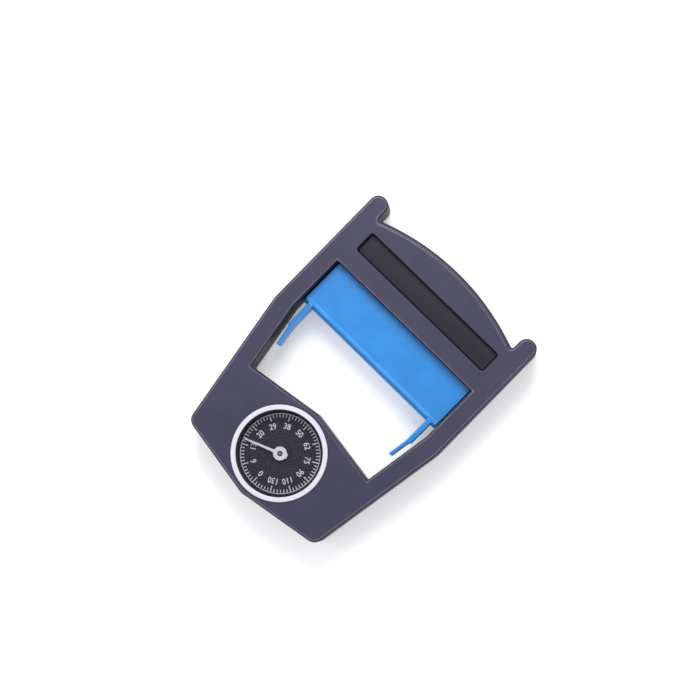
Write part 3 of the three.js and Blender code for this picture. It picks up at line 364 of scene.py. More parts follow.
class Nodes:
    """A small helper for writing node trees."""

    def __init__(self, name):
        self.material = bpy.data.materials.new(name)
        self.material.use_nodes = True
        self.tree = self.material.node_tree
        self.bsdf = self.tree.nodes["Principled BSDF"]
        coordinates = self.tree.nodes.new("ShaderNodeTexCoord")
        self.place = coordinates.outputs["Object"]

    def noise(self, scale, detail=3.0, roughness=0.55, stretch=None):
        node = self.tree.nodes.new("ShaderNodeTexNoise")
        node.inputs["Scale"].default_value = scale
        node.inputs["Detail"].default_value = detail
        node.inputs["Roughness"].default_value = roughness
        source = self.place
        if stretch:
            mapping = self.tree.nodes.new("ShaderNodeMapping")
            mapping.inputs["Scale"].default_value = stretch
            self.tree.links.new(source, mapping.inputs["Vector"])
            source = mapping.outputs["Vector"]
        self.tree.links.new(source, node.inputs["Vector"])
        return node.outputs["Fac"]

    def ramp(self, source, *stops):
        """A ramp of (place, colour) stops, where a colour may be a single grey value."""
        node = self.tree.nodes.new("ShaderNodeValToRGB")
        elements = node.color_ramp.elements
        while len(elements) < len(stops):
            elements.new(0.5)
        for element, (place, colour) in zip(elements, stops):
            element.position = place
            shade = colour if hasattr(colour, "__len__") else (colour, colour, colour)
            element.color = (*shade, 1)
        self.tree.links.new(source, node.inputs["Fac"])
        return node.outputs["Color"]

    def mix(self, factor, a, b, mode="MIX"):
        node = self.tree.nodes.new("ShaderNodeMix")
        node.data_type = "RGBA"
        node.blend_type = mode
        for value, socket in ((factor, node.inputs[0]), (a, node.inputs[6]), (b, node.inputs[7])):
            if hasattr(value, "is_linked"):
                self.tree.links.new(value, socket)
            elif hasattr(value, "__len__"):
                socket.default_value = (*value, 1)
            else:
                socket.default_value = value
        return node.outputs[2]

    def part(self, vector, axis):
        split = self.tree.nodes.new("ShaderNodeSeparateXYZ")
        self.tree.links.new(vector, split.inputs[0])
        return split.outputs[axis]

    def math(self, operation, a, b=0.0):
        node = self.tree.nodes.new("ShaderNodeMath")
        node.operation = operation
        for value, socket in ((a, node.inputs[0]), (b, node.inputs[1])):
            if hasattr(value, "is_linked"):
                self.tree.links.new(value, socket)
            else:
                socket.default_value = value
        return node.outputs[0]

    def normal(self, axis):
        """One part of the surface's own normal, in the object's frame."""
        coordinates = self.tree.nodes.new("ShaderNodeTexCoord")
        return self.part(coordinates.outputs["Normal"], axis)

    def facing_up(self):
        """1 on faces that look along +Z or -Z, and 0 on upright ones."""
        return self.math("ABSOLUTE", self.normal("Z"))

    def along(self, axis, low, high):
        """0 at one place along an axis, rising to 1 at another."""
        start = self.math("SUBTRACT", self.part(self.place, axis), low)
        return self.math("DIVIDE", start, high - low)

    def between(self, axis, low, high, soft):
        """1 between two places along an axis and 0 outside them, with soft ends."""
        span = high - low + 2 * soft
        place = self.along(axis, low - soft, high + soft)
        return self.ramp(place, (0.0, 0.0), (soft / span, 1.0), (1 - soft / span, 1.0), (1.0, 0.0))

    def bump(self, height, strength, distance):
        node = self.tree.nodes.new("ShaderNodeBump")
        node.inputs["Strength"].default_value = strength
        node.inputs["Distance"].default_value = distance
        self.tree.links.new(height, node.inputs["Height"])
        self.tree.links.new(node.outputs["Normal"], self.bsdf.inputs["Normal"])

    def link(self, source, name):
        self.tree.links.new(source, self.bsdf.inputs[name])

    def set(self, **values):
        for name, value in values.items():
            self.bsdf.inputs[name.replace("_", " ")].default_value = value


def moulded_plastic(name, light, dark, rough, grain, edge=None):
    """Moulded plastic: cloudy colour, dark specks, a fine grain and, where given, a painted highlight along
    its rounded edges.
    """
    n = Nodes(name)
    base = n.ramp(n.noise(70, 4, 0.6), (0.3, dark), (0.7, light))
    tint = n.ramp(n.noise(2600, 2, 0.5), (0.3, 0.86), (0.7, 1.0))
    colour = n.mix(1.0, base, tint, "MULTIPLY")
    if edge:
        # Painted highlight: a lighter band where the surface tilts part way from flat, broken up by noise;
        # edge is its colour.
        highlight_band = n.ramp(n.facing_up(), (0.70, 0.0), (0.82, 0.75), (0.97, 0.75), (0.995, 0.0))
        highlight_patches = n.math("MULTIPLY", highlight_band, n.ramp(n.noise(140, 4, 0.7), (0.3, 0.4), (0.6, 1.0)))
        colour = n.mix(highlight_patches, colour, edge)
    n.link(colour, "Base Color")
    n.link(n.ramp(n.noise(900, 3), (0.3, rough - 0.06), (0.7, rough + 0.06)), "Roughness")
    n.bump(n.noise(grain, 3, 0.6), 0.35, 0.00006)
    return n.material


def housing_plastic():
    """Matte spark-eroded faces, a painted highlight along the rounded edges, painted shade on the upright
    walls and painted shade in the pocket.
    """
    n = Nodes("housing")
    face = n.ramp(n.noise(60, 4, 0.6), (0.3, HOUSING_DARK), (0.7, HOUSING_LIGHT))
    face = n.mix(1.0, face, n.ramp(n.noise(2600, 2, 0.5), (0.3, 0.84), (0.7, 1.0)), "MULTIPLY")
    level = n.facing_up()
    # Painted highlight along the rounded edges: a lighter, glossier band where the surface tilts part way
    # from flat, broken up by noise and weaker where the edge faces +Y.
    highlight_patches = n.ramp(n.noise(110, 4, 0.7), (0.3, 0.45), (0.62, 1.0))
    edge_highlight = n.math("MULTIPLY", n.ramp(level, (0.80, 0.0), (0.88, 1.0), (0.985, 1.0), (0.999, 0.0)), highlight_patches)
    edge_highlight = n.math("MULTIPLY", edge_highlight, n.ramp(n.normal("Y"), (0.0, 1.0), (0.35, 0.3)))
    face = n.mix(edge_highlight, face, HOUSING_EDGE_HIGHLIGHT)
    # Painted shade: upright walls are given a far darker colour than the face.
    wall_shade = n.ramp(n.noise(90, 3), (0.3, PAINTED_WALL_SHADE_DARK), (0.7, PAINTED_WALL_SHADE_LIGHT))
    face = n.mix(n.ramp(level, (0.6, 0.0), (0.86, 1.0)), wall_shade, face)
    # Painted shade in the pocket: its sunk floor and slopes are darkened and tinted, darkest about a third
    # of the way up from its lower side.
    top, bottom = POCKET_TOP_Y * MM, POCKET_BOTTOM_Y * MM
    reach = POCKET_HALF_WIDTH * MM
    floor_z = (FACE_Z - POCKET_DEPTH) * MM
    in_plan = n.math("MULTIPLY", n.between("Y", bottom, top, 0.0006), n.between("X", -reach, reach, 0.0006))
    pocket_shade_mask = n.math("MULTIPLY", in_plan, n.between("Z", floor_z - 0.0005, floor_z + 0.0018, 0.0008))
    stops = ((0.0, 0.46), (0.12, 0.44), (0.32, 0.32), (0.9, 0.54), (1.0, 0.5))
    shade = n.ramp(n.along("Y", bottom, top), *stops)
    pocket_shaded_face = n.mix(1.0, face, n.mix(1.0, shade, POCKET_SHADE_TINT, "MULTIPLY"), "MULTIPLY")
    face = n.mix(pocket_shade_mask, face, pocket_shaded_face)
    n.link(face, "Base Color")
    rough = n.ramp(n.noise(900, 3), (0.3, 0.5), (0.7, 0.62))
    n.link(n.mix(edge_highlight, rough, (0.36, 0.36, 0.36)), "Roughness")
    n.set(Specular_IOR_Level=0.32)
    n.bump(n.noise(3200, 3, 0.6), 0.35, 0.00006)
    return n.material


def paint(name, light, dark, rough, specular=0.5):
    """Smooth paint or print with a faint mottle."""
    n = Nodes(name)
    n.link(n.ramp(n.noise(350, 4), (0.3, dark), (0.7, light)), "Base Color")
    n.link(n.ramp(n.noise(1400, 2), (0.3, rough - 0.05), (0.7, rough + 0.05)), "Roughness")
    n.set(Specular_IOR_Level=specular)
    n.bump(n.noise(1500, 2), 0.05, 0.00001)
    return n.material


def metal(name, light, dark, rough, stretch=(1, 1, 1)):
    """Bare metal with fine working marks and small changes of polish."""
    n = Nodes(name)
    marks = n.noise(1200, 5, 0.65, stretch)
    n.link(n.ramp(n.noise(200, 4), (0.3, dark), (0.7, light)), "Base Color")
    n.link(n.ramp(marks, (0.3, rough - 0.08), (0.7, rough + 0.1)), "Roughness")
    n.set(Metallic=1.0)
    n.bump(marks, 0.18, 0.00002)
    return n.material


def clear_cover():
    """Thin clear plastic: see-through, with faint hazy wipe marks in its gloss."""
    n = Nodes("clear_cover")
    n.link(n.ramp(n.noise(120, 3, 0.6, (1, 3, 1)), (0.35, 0.04), (0.75, 0.12)), "Roughness")
    n.set(Base_Color=(0.02, 0.02, 0.024, 1), Alpha=0.06, IOR=1.49, Specular_IOR_Level=0.5)
    return n.material


GRIP_LIGHT = (0.016, 0.228, 0.625)
GRIP_DARK = (0.013, 0.192, 0.55)
# colour of the painted highlight on the grip's rounded edges
GRIP_EDGE_HIGHLIGHT = (0.06, 0.36, 0.85)
HOUSING_LIGHT = (0.044, 0.040, 0.079)
HOUSING_DARK = (0.036, 0.033, 0.063)
# colour of the painted highlight on the housing's rounded edges
HOUSING_EDGE_HIGHLIGHT = (0.115, 0.108, 0.158)
# tint of the painted shade in the pocket
POCKET_SHADE_TINT = (0.56, 0.52, 0.68)
# colours of the painted shade on the housing's upright walls
PAINTED_WALL_SHADE_LIGHT = (0.011, 0.010, 0.015)
PAINTED_WALL_SHADE_DARK = (0.007, 0.007, 0.010)


FINISHES = {  # by material slot: what makes it, then its light colour, dark colour and roughness
    # the grip's last value is the colour of its painted edge highlight
    "grip_blue": (moulded_plastic, GRIP_LIGHT, GRIP_DARK, 0.34, 2400, GRIP_EDGE_HIGHLIGHT),
    "seal_rubber": (moulded_plastic, (0.02, 0.02, 0.021), (0.014, 0.014, 0.015), 0.75, 1800),
    "guide_nylon": (moulded_plastic, (0.78, 0.75, 0.68), (0.70, 0.67, 0.60), 0.5, 1800),
    "bezel": (paint, (0.64, 0.63, 0.71), (0.58, 0.57, 0.65), 0.34),
    "case_black": (paint, (0.036, 0.035, 0.045), (0.028, 0.027, 0.036), 0.5),
    "dial_paint": (paint, (0.033, 0.031, 0.046), (0.026, 0.025, 0.037), 0.7, 0.15),
    "pointer_white": (paint, (0.62, 0.61, 0.69), (0.56, 0.55, 0.63), 0.5),
    "zinc_steel": (metal, (0.62, 0.63, 0.65), (0.50, 0.51, 0.53), 0.34, (1, 6, 1)),
    "spring_wire": (metal, (0.42, 0.42, 0.44), (0.32, 0.32, 0.34), 0.3, (6, 1, 6)),
    "black_steel": (metal, (0.12, 0.12, 0.13), (0.07, 0.07, 0.08), 0.42),
    "brass": (metal, (0.72, 0.50, 0.20), (0.60, 0.40, 0.15), 0.32, (6, 1, 1)),
}
materials = {slot: make(slot, *values) for slot, (make, *values) in FINISHES.items()}
materials["housing"] = housing_plastic()
materials["clear_cover"] = clear_cover()

# ---------------------------------------------------------------- housing

FILLET_STEPS = 8
THROUGH = 1.0  # how far a cut runs past the faces that it goes through
SLOT_GAP = 0.6  # round the grip where it enters the bridge
THREAD_HOLE_RADIUS = 1.3
FRONT_BOSS_RADIUS = 2.9
FRONT_BORE_DEPTH = 7
REAR_BOSS_RADIUS = 4
HEAD_HOLE_RADIUS = 2.6
HEAD_HOLE_DEPTH = 2.8
DIAL_HOLE_RADIUS = 25.5
BEZEL_SEAT_GAP = 0.3
BEZEL_SEAT_DROP = 0.55  # of the bezel's seat below the dial case's flange


def ring_at(corners, z):
    """The outline's points at one height."""
    return [(x, y, z) for x, y, width in rounded(corners)]


def fillet_rings(corners, top_z, way):
    """Rings of a rounded edge; way is 1 for a front edge and -1 for a rear one."""
    rings = []
    for k in range(FILLET_STEPS + 1):
        angle = math.pi / 2 * k / FILLET_STEPS
        moved = inset(corners, lambda edge: edge * (1 - math.cos(angle)))
        drop = way * (1 - math.sin(angle))
        rings.append([(x, y, top_z - width * drop) for x, y, width in rounded(moved)])
    return rings


def half_form(name, parting_z, face_z, way):
    """One half of the housing's outer form, from its parting face to its front or rear face."""
    corners = housing_outline()
    rings = [
        ring_at(inset(corners, PARTING_CHAMFER), parting_z),
        ring_at(corners, parting_z + way * PARTING_CHAMFER),
    ]
    return loft(name, rings + fillet_rings(corners, face_z, way))


def window_tool(parting_z, face_z, way):
    """What cuts the window from one half, with its rounded edge and its chamfer at the parting face."""
    corners = window_outline()
    rings = [
        ring_at(inset(corners, -PARTING_CHAMFER - THROUGH), parting_z - way * THROUGH),
        ring_at(corners, parting_z + way * PARTING_CHAMFER),
    ]
    for k in range(FILLET_STEPS + 1):
        angle = math.pi / 2 * k / FILLET_STEPS
        grown = inset(corners, -WINDOW_FILLET * (1 - math.cos(angle)))
        rings.append(ring_at(grown, face_z - way * WINDOW_FILLET * (1 - math.sin(angle))))
    rings.append(ring_at(inset(corners, -WINDOW_FILLET), face_z + way * THROUGH))
    return loft("window_tool", rings)


def pocket_tool():
    """The pocket: steep at its upper edge, a soft slope at its lower edge, with rounded rims and floor."""
    rings = []
    for k in range(POCKET_STEPS + 1):
        share = k / POCKET_STEPS
        sink = share * share * (3 - 2 * share)
        x = POCKET_HALF_WIDTH - POCKET_END * share
        low = POCKET_BOTTOM_Y + POCKET_RAMP * share
        high = POCKET_TOP_Y - POCKET_STEEP * share
        r = POCKET_CORNER
        corners = [Corner(-x, low, r), Corner(x, low, r), Corner(x, high, r), Corner(-x, high, r)]
        rings.append(ring_at(corners, FACE_Z - POCKET_DEPTH * sink))
    above = [(x, y, FACE_Z + THROUGH) for x, y, z in rings[0]]
    return loft("pocket_tool", [*reversed(rings), above])


def hollow_tool(low_z, high_z):
    """The space inside one half, between its outer wall and the wall round the window."""
    outer = inset(housing_outline(), OUTER_WALL)
    outside = loft("hollow", [ring_at(outer, low_z), ring_at(outer, high_z)])
    grown = inset(window_outline(), -WINDOW_WALL)
    inside = loft("inside", [ring_at(grown, low_z - THROUGH), ring_at(grown, high_z + THROUGH)])
    return cut(outside, inside)


def cylinder(x, y, radius, z0, z1, sides=48):
    """A plain round tool along Z."""
    return lathe("tool", [(0, z0), (radius, z0), (radius, z1), (0, z1)], x, y, sides)


def screw_axis(name):
    """Where a screw that runs along Z stands, in plan."""
    low, high = node_box(name)
    return (low.x + high.x) / 2, (low.y + high.y) / 2


HOUSING_SCREWS = [
    screw_axis(f"{place}_screw_{hand}")
    for place in ("horn", "bridge", "block")
    for hand in ("left", "right")
]


def slot_tool():
    """The opening in the window's upper wall that the grip slides through."""
    half = grip_high.x + SLOT_GAP
    return box("slot", -half, half, WINDOW_TOP_Y - THROUGH, WINDOW_TOP_Y + WINDOW_WALL + THROUGH,
               grip_low.z - SLOT_GAP, grip_high.z + SLOT_GAP)


def front_housing():
    """The front shell: its form, window, hollow, pocket, screw bosses and the dial's seat."""
    parting = housing_low.z
    body = half_form("housing_front", parting, FACE_Z, 1)
    hollow = hollow_tool(parting - THROUGH, FACE_Z - FACE_WALL)
    margin = POCKET_FLOOR
    hollow = cut(hollow, box(
        "surround", -POCKET_HALF_WIDTH - margin, POCKET_HALF_WIDTH + margin,
        POCKET_BOTTOM_Y - margin, POCKET_TOP_Y + margin, POCKET_UNDER_Z, FACE_Z,
    ))
    body = cut(body, window_tool(parting, FACE_Z, 1), hollow, slot_tool())
    bosses = [cylinder(x, y, FRONT_BOSS_RADIUS, parting, FACE_Z - FACE_WALL / 2) for x, y in HOUSING_SCREWS]
    body = join(body, *bosses)
    bore_top = parting + FRONT_BORE_DEPTH
    bores = [cylinder(x, y, THREAD_HOLE_RADIUS, 0, bore_top, 32) for x, y in HOUSING_SCREWS]
    seat_z = case_high.z - BEZEL_SEAT_DROP
    dial_hole = cylinder(0, DIAL_Y, DIAL_HOLE_RADIUS, parting, FACE_Z + THROUGH, 128)
    dial_seat = cylinder(0, DIAL_Y, bezel_high.x + BEZEL_SEAT_GAP, seat_z, FACE_Z + THROUGH, 128)
    body = cut(body, pocket_tool(), *bores, dial_hole, dial_seat)
    return piece(smooth(body, 32), "housing", "housing", "front_shell")


def rear_housing():
    """The rear shell: its form, window, hollow, and bosses with holes for the screws and their heads."""
    parting = rear_high.z
    body = half_form("housing_rear", parting, 0, -1)
    body = cut(body, window_tool(parting, 0, -1), hollow_tool(FACE_WALL, parting + THROUGH), slot_tool())
    bosses = [cylinder(x, y, REAR_BOSS_RADIUS, FACE_WALL / 2, parting) for x, y in HOUSING_SCREWS]
    body = join(body, *bosses)
    holes = []
    for x, y in HOUSING_SCREWS:
        holes.append(cylinder(x, y, THREAD_HOLE_RADIUS, -THROUGH, parting + THROUGH, 32))
        holes.append(cylinder(x, y, HEAD_HOLE_RADIUS, -THROUGH, HEAD_HOLE_DEPTH))
    return piece(smooth(cut(body, *holes), 32), "housing", "housing", "rear_shell")


front_housing()
rear_housing()

# ---------------------------------------------------------------- grip

GRIP_SHOWING = 28.6  # height of blue below the window's top edge
GRIP_WALL = 2.2
GRIP_CORNER_RADIUS = 5
GRIP_LIP = 0.6
GRIP_END_FILLET = 0.7
CHEEK_THICKNESS = 3.2
CHEEK_INSET = 2.9  # from the grip's ends
CHEEK_FOOT = 15  # length of the wide part, below the grip
CHEEK_TOE = 12  # length of the narrow part below it
CHEEK_LEAN = 0.1
TOE_THICKNESS = 2.2
TOE_STEP = 1.2
CHEEK_DEPTH = 12.4  # along Z
CHEEK_FILLET = 0.8
WEB_DROP = 0.05  # of the webs below the channel's edges


def edged_loft(name, corners, span, fillet, place):
    """A solid of one outline with both its end edges rounded; place turns (u, v, along) into x, y, z."""
    rings = []
    steps = 5
    for end, way in ((span[0], 1), (span[1], -1)):
        ring_set = []
        for k in range(steps + 1):
            angle = math.pi / 2 * k / steps
            moved = inset(corners, fillet * (1 - math.sin(angle)))
            along = end + way * fillet * (1 - math.cos(angle))
            ring_set.append([place(u, v, along) for u, v, width in rounded(moved)])
        rings.extend(ring_set if way > 0 else reversed(ring_set))
    return loft(name, rings)


def grip_piece():
    """The grip: a channel that is open towards the bridge, with webs and a cheek near each end."""
    half_depth = (grip_high.z - grip_low.z) / 2
    bottom_y = WINDOW_TOP_Y - GRIP_SHOWING
    top_y = grip_high.y
    half = grip_high.x
    inner_r = GRIP_CORNER_RADIUS - GRIP_WALL
    low, high = MIDDLE_Z - half_depth, MIDDLE_Z + half_depth
    channel = [
        Corner(top_y, high, GRIP_LIP, 5),
        Corner(bottom_y, high, GRIP_CORNER_RADIUS, 12),
        Corner(bottom_y, low, GRIP_CORNER_RADIUS, 12),
        Corner(top_y, low, GRIP_LIP, 5),
        Corner(top_y, low + GRIP_WALL, GRIP_LIP, 5),
        Corner(bottom_y + GRIP_WALL, low + GRIP_WALL, inner_r, 8),
        Corner(bottom_y + GRIP_WALL, high - GRIP_WALL, inner_r, 8),
        Corner(top_y, high - GRIP_WALL, GRIP_LIP, 5),
    ]
    body = edged_loft("grip_moulding", channel, (-half, half), GRIP_END_FILLET, lambda u, v, w: (w, u, v))
    outer = half - CHEEK_INSET
    inner = outer - CHEEK_THICKNESS
    foot_y = bottom_y - CHEEK_FOOT
    toe_y = grip_low.y
    toe_inner = inner - CHEEK_LEAN
    toe_lean = CHEEK_TOE * RAIL_LEAN
    toe_outer = toe_inner + TOE_THICKNESS
    cheek = [
        (inner, bottom_y + GRIP_WALL, 0.6),
        (toe_inner, foot_y, 3),
        (toe_inner - toe_lean, toe_y, TOE_THICKNESS * 0.45),
        (toe_outer - toe_lean, toe_y, TOE_THICKNESS * 0.45),
        (toe_outer, foot_y - TOE_STEP / 2, 0.3),
        (outer - CHEEK_LEAN, foot_y + TOE_STEP / 2, 0.5),
        (outer, bottom_y + GRIP_WALL, 0.6),
    ]
    parts = []
    for side in (-1, 1):
        corners = [Corner(side * x, y, r, 8) for x, y, r in cheek]
        if side < 0:
            corners.reverse()
        span = (MIDDLE_Z - CHEEK_DEPTH / 2, MIDDLE_Z + CHEEK_DEPTH / 2)
        parts.append(edged_loft("cheek", corners, span, CHEEK_FILLET, lambda u, v, w: (u, v, w)))
        x0, x1 = sorted((side * inner, side * outer))
        reach = half_depth - GRIP_WALL / 2
        low_y, high_y = bottom_y + GRIP_WALL / 2, top_y - WEB_DROP
        parts.append(box("web", x0, x1, low_y, high_y, MIDDLE_Z - reach, MIDDLE_Z + reach))
    return piece(smooth(join(body, *parts), 32), "grip_carriage", "grip_blue", "grip")


grip_piece()

# ---------------------------------------------------------------- main springs

SPRING_WIRE = 2.6
SPRING_TURNS = 5.8
CLOSED_TURNS = 0.75  # at each end
CLOSED_PITCH = SPRING_WIRE + 0.15
STEPS_A_TURN = 30
TANGENT_STEP = 0.005  # turns to each side of a point, for the wire's direction there
WIRE_SIDES = 14


def spring_point(turn, radius, low_y, high_y):
    """Middle of the wire after a number of turns: closed turns at both ends, an even pitch between them."""
    open_turns = SPRING_TURNS - 2 * CLOSED_TURNS
    rise = high_y - low_y - SPRING_WIRE - 2 * CLOSED_TURNS * CLOSED_PITCH
    lower = min(turn, CLOSED_TURNS)
    upper = max(turn - CLOSED_TURNS - open_turns, 0)
    y = low_y + SPRING_WIRE / 2 + (lower + upper) * CLOSED_PITCH + (turn - lower - upper) / open_turns * rise
    angle = 2 * math.pi * turn
    return Vector((radius * math.cos(angle), y, MIDDLE_Z + radius * math.sin(angle)))


def spring_piece(name):
    """A coiled main spring at its resting length; the real spring flattens as the grip is squeezed, but this
    mesh keeps its shape.
    """
    low, high = node_box(name)
    middle = Vector(((low.x + high.x) / 2, 0, 0))
    radius = (high.x - low.x) / 2 - SPRING_WIRE / 2
    loops = []
    steps = round(SPRING_TURNS * STEPS_A_TURN)
    for k in range(steps + 1):
        turn = SPRING_TURNS * k / steps
        before, place, after = (
            spring_point(turn + step, radius, low.y, high.y) for step in (-TANGENT_STEP, 0, TANGENT_STEP)
        )
        along = after - before
        outward = Vector((place.x, 0, place.z - MIDDLE_Z)).normalized()
        across = along.cross(outward).normalized()
        ring = [2 * math.pi * i / WIRE_SIDES for i in range(WIRE_SIDES)]
        loops.append([
            middle + place + (outward * math.cos(a) + across * math.sin(a)) * SPRING_WIRE / 2 for a in ring
        ])
    body = smooth(loft(f"{name}_fine", loops), 40)
    piece(body, "housing", "spring_wire", name)
    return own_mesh(body)


for spring_name in ("main_spring_left", "main_spring_right"):
    spring_piece(spring_name)

# ---------------------------------------------------------------- screws

SCREW_PITCH = 0.5
SCREW_SIZE = (2.3, 1.7, 1.0)  # head radius, head height, shank radius
MOVEMENT_SCREW_SIZE = (1.4, 1.0, 0.7)


def screw_profile(head_radius, head_height, shank_radius, length):
    """Half section of a pan-head screw with its head's top at 0 and its point at the given length."""
    root = shank_radius * 0.82
    flat, crown, chamfer, steps = head_radius * 0.62, head_height * 0.45, 0.12, 5
    profile = [(0, 0)]
    for k in range(steps + 1):
        angle = math.pi / 2 * k / steps
        radius = flat + (head_radius - flat) * math.sin(angle)
        profile.append((radius, crown * (1 - math.cos(angle))))
    profile += [
        (head_radius, head_height - chamfer),
        (head_radius - chamfer, head_height),
        (shank_radius, head_height),
    ]
    at = head_height + 2 * SCREW_PITCH
    while at < length - shank_radius - SCREW_PITCH:
        profile += [(shank_radius, at), (root, at + SCREW_PITCH * 0.35), (root, at + SCREW_PITCH * 0.5)]
        at += SCREW_PITCH
    return profile + [(shank_radius, at), (root * 0.5, length - 0.3), (0, length)]


def fine_screw(name):
    """A screw with rolled threads and a cross recess, in the place of its CAD node."""
    low, high = node_box(name)
    size = MOVEMENT_SCREW_SIZE if name.startswith("movement") else SCREW_SIZE
    along_y = name.startswith("grip")
    length = high.y - low.y if along_y else high.z - low.z
    body = lathe(f"{name}_fine", screw_profile(*size, length), 0, 0, 32)
    reach, half, depth = size[0] * 0.55, size[0] * 0.13, size[1] * 0.55
    for width, height in ((reach, half), (half, reach)):
        corners = ((-width, -height), (width, -height), (width, height), (-width, height))
        recess = loft("recess", [
            [(x * share, y * share, z) for x, y in corners] for share, z in ((1.05, -0.2), (0.7, depth))
        ])
        cut(body, recess)
    if along_y:
        head = Vector(((low.x + high.x) / 2, high.y, MIDDLE_Z))
        turn = Matrix.Rotation(math.pi / 2, 4, "X")
    else:
        head = Vector((*screw_axis(name), low.z))
        stop = sum(map(ord, name)) % 90  # each screw stopped at its own angle
        turn = Matrix.Rotation(math.radians(stop), 4, "Z")
    body.data.transform(Matrix.Translation(head * MM) @ turn)
    return piece(smooth(body, 40), "grip_carriage" if along_y else "housing", "black_steel", name)


for screw_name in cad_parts:
    if "_screw_" in screw_name:
        fine_screw(screw_name)

# ---------------------------------------------------------------- dial


def arc_profile(centre_r, centre_z, radius, start, end, steps=6):
    """Points of a rounded profile corner, with angles in degrees from the outward direction."""
    points = []
    for k in range(steps + 1):
        angle = math.radians(start + (end - start) * k / steps)
        points.append((centre_r + radius * math.cos(angle), centre_z + radius * math.sin(angle)))
    return points


BEZEL_INNER_RADIUS = 23.9
BEZEL_EDGE = 0.45
CASE_OUTER_RADIUS = 25.2
CASE_INNER_RADIUS = 23.3
CASE_SEAT_RADIUS = 24.4  # inside the rim that holds the clear cover
CASE_SEAT_Z = 23.3
CASE_FLOOR = 1.2
CASE_FLANGE = 0.5
CASE_EDGE = 0.4
CASE_SCREW_HOLE_RADIUS = 1.0
SHAFT_HOLE_RADIUS = 1.5  # in the case and the dial
CRYSTAL_EDGE = 0.3
DIAL_EDGE = 0.1


def bezel_piece():
    """The ring round the dial."""
    outer, low, high = bezel_high.x, bezel_low.z, bezel_high.z
    inner, edge = BEZEL_INNER_RADIUS, BEZEL_EDGE
    profile = [
        (inner, low),
        (outer, low),
        *arc_profile(outer - edge, high - edge, edge, 0, 90),
        *arc_profile(inner + edge, high - edge, edge, 90, 180),
    ]
    ring = smooth(lathe("bezel_ring_fine", profile, 0, DIAL_Y, 160), 40)
    return piece(ring, "housing", "bezel", "bezel_ring")


def case_piece():
    """The black cup under the dial, with its flange and the seat for the clear cover."""
    outer, inner, rim, edge = CASE_OUTER_RADIUS, CASE_INNER_RADIUS, CASE_SEAT_RADIUS, CASE_EDGE
    low, high = case_low.z, case_high.z
    floor, flange = low + CASE_FLOOR, high - CASE_FLANGE
    profile = [
        (SHAFT_HOLE_RADIUS, low), (outer - edge, low), (outer, low + edge), (outer, flange),
        (case_high.x, flange), (case_high.x, high), (rim, high), (rim, CASE_SEAT_Z), (inner, CASE_SEAT_Z),
        (inner, floor + edge), (inner - edge, floor), (SHAFT_HOLE_RADIUS, floor),
    ]
    cup = lathe("dial_case_fine", profile, 0, DIAL_Y, 160)
    holes = []
    for row in ("lower", "upper"):
        for hand in ("left", "right"):
            x, y = screw_axis(f"movement_screw_{row}_{hand}")
            holes.append(cylinder(x, y, CASE_SCREW_HOLE_RADIUS, low - THROUGH, floor + 0.1, 24))
    cup = smooth(cut(cup, *holes), 35)
    return piece(cup, "housing", "case_black", "dial_case")


def crystal_piece():
    """The clear cover."""
    radius, low, high, edge = crystal_high.x, crystal_low.z, crystal_high.z, CRYSTAL_EDGE
    profile = [
        (0, low),
        (radius, low),
        *arc_profile(radius - edge, high - edge, edge, 0, 90, 4),
        (0, high),
    ]
    cover = smooth(lathe("crystal_fine", profile, 0, DIAL_Y, 128), 40)
    return piece(cover, "housing", "clear_cover", "crystal")


def dial_disc():
    """The dial plate, without its print."""
    radius, low, high, edge = dial_high.x, dial_low.z, dial_high.z, DIAL_EDGE
    hole = SHAFT_HOLE_RADIUS
    profile = [(hole, low), (radius, low), (radius, high - edge), (radius - edge, high), (hole, high)]
    disc = smooth(lathe("dial_plate_fine", profile, 0, DIAL_Y, 128), 40)
    return piece(disc, "housing", "dial_paint", "dial_plate")


# The scale: divisions every 5 degrees and figures every 30, clockwise from the bottom of the dial
SCALE_FIGURES = (0, 6, 13, 20, 29, 38, 50, 62, 75, 90, 110, 130)
SCALE_DIVISIONS = 72
MAJOR_EVERY = 6
SCALE_RADIUS = 22.1
SCALE_LINE = 0.32  # width of the circle that the divisions hang from
CIRCLE_SIDES = 216
MINOR_LENGTH = 2.3
MAJOR_LENGTH = 3.9
MINOR_WIDTH = 0.5
MAJOR_WIDTH = 0.55
FIGURE_RADIUS = 15.3
FIGURE_HEIGHT = 3.3
FIGURE_WIDTH = 0.86  # of the letter form's own width
PRINT_THICKNESS = 0.03
PRINT_GAP = 0.002  # between the print and the dial
PRINT_OVERLAP = 0.01  # between the circle and the ends of the divisions


def dial_point(radius, angle):
    """A point at an angle clockwise from the bottom of the dial."""
    return Vector((-radius * math.sin(angle), DIAL_Y - radius * math.cos(angle)))


def add_bar(bm, start, end, width, z0, z1):
    """A thin flat bar between two points."""
    along = (end - start).normalized()
    side = Vector((-along.y, along.x)) * width / 2
    flat = [start + side, start - side, end - side, end + side]
    low = [bm.verts.new((p.x, p.y, z0)) for p in flat]
    high = [bm.verts.new((p.x, p.y, z1)) for p in flat]
    bm.faces.new(low)
    bm.faces.new(high)
    for i in range(4):
        bm.faces.new((low[i], low[i - 1], high[i - 1], high[i]))


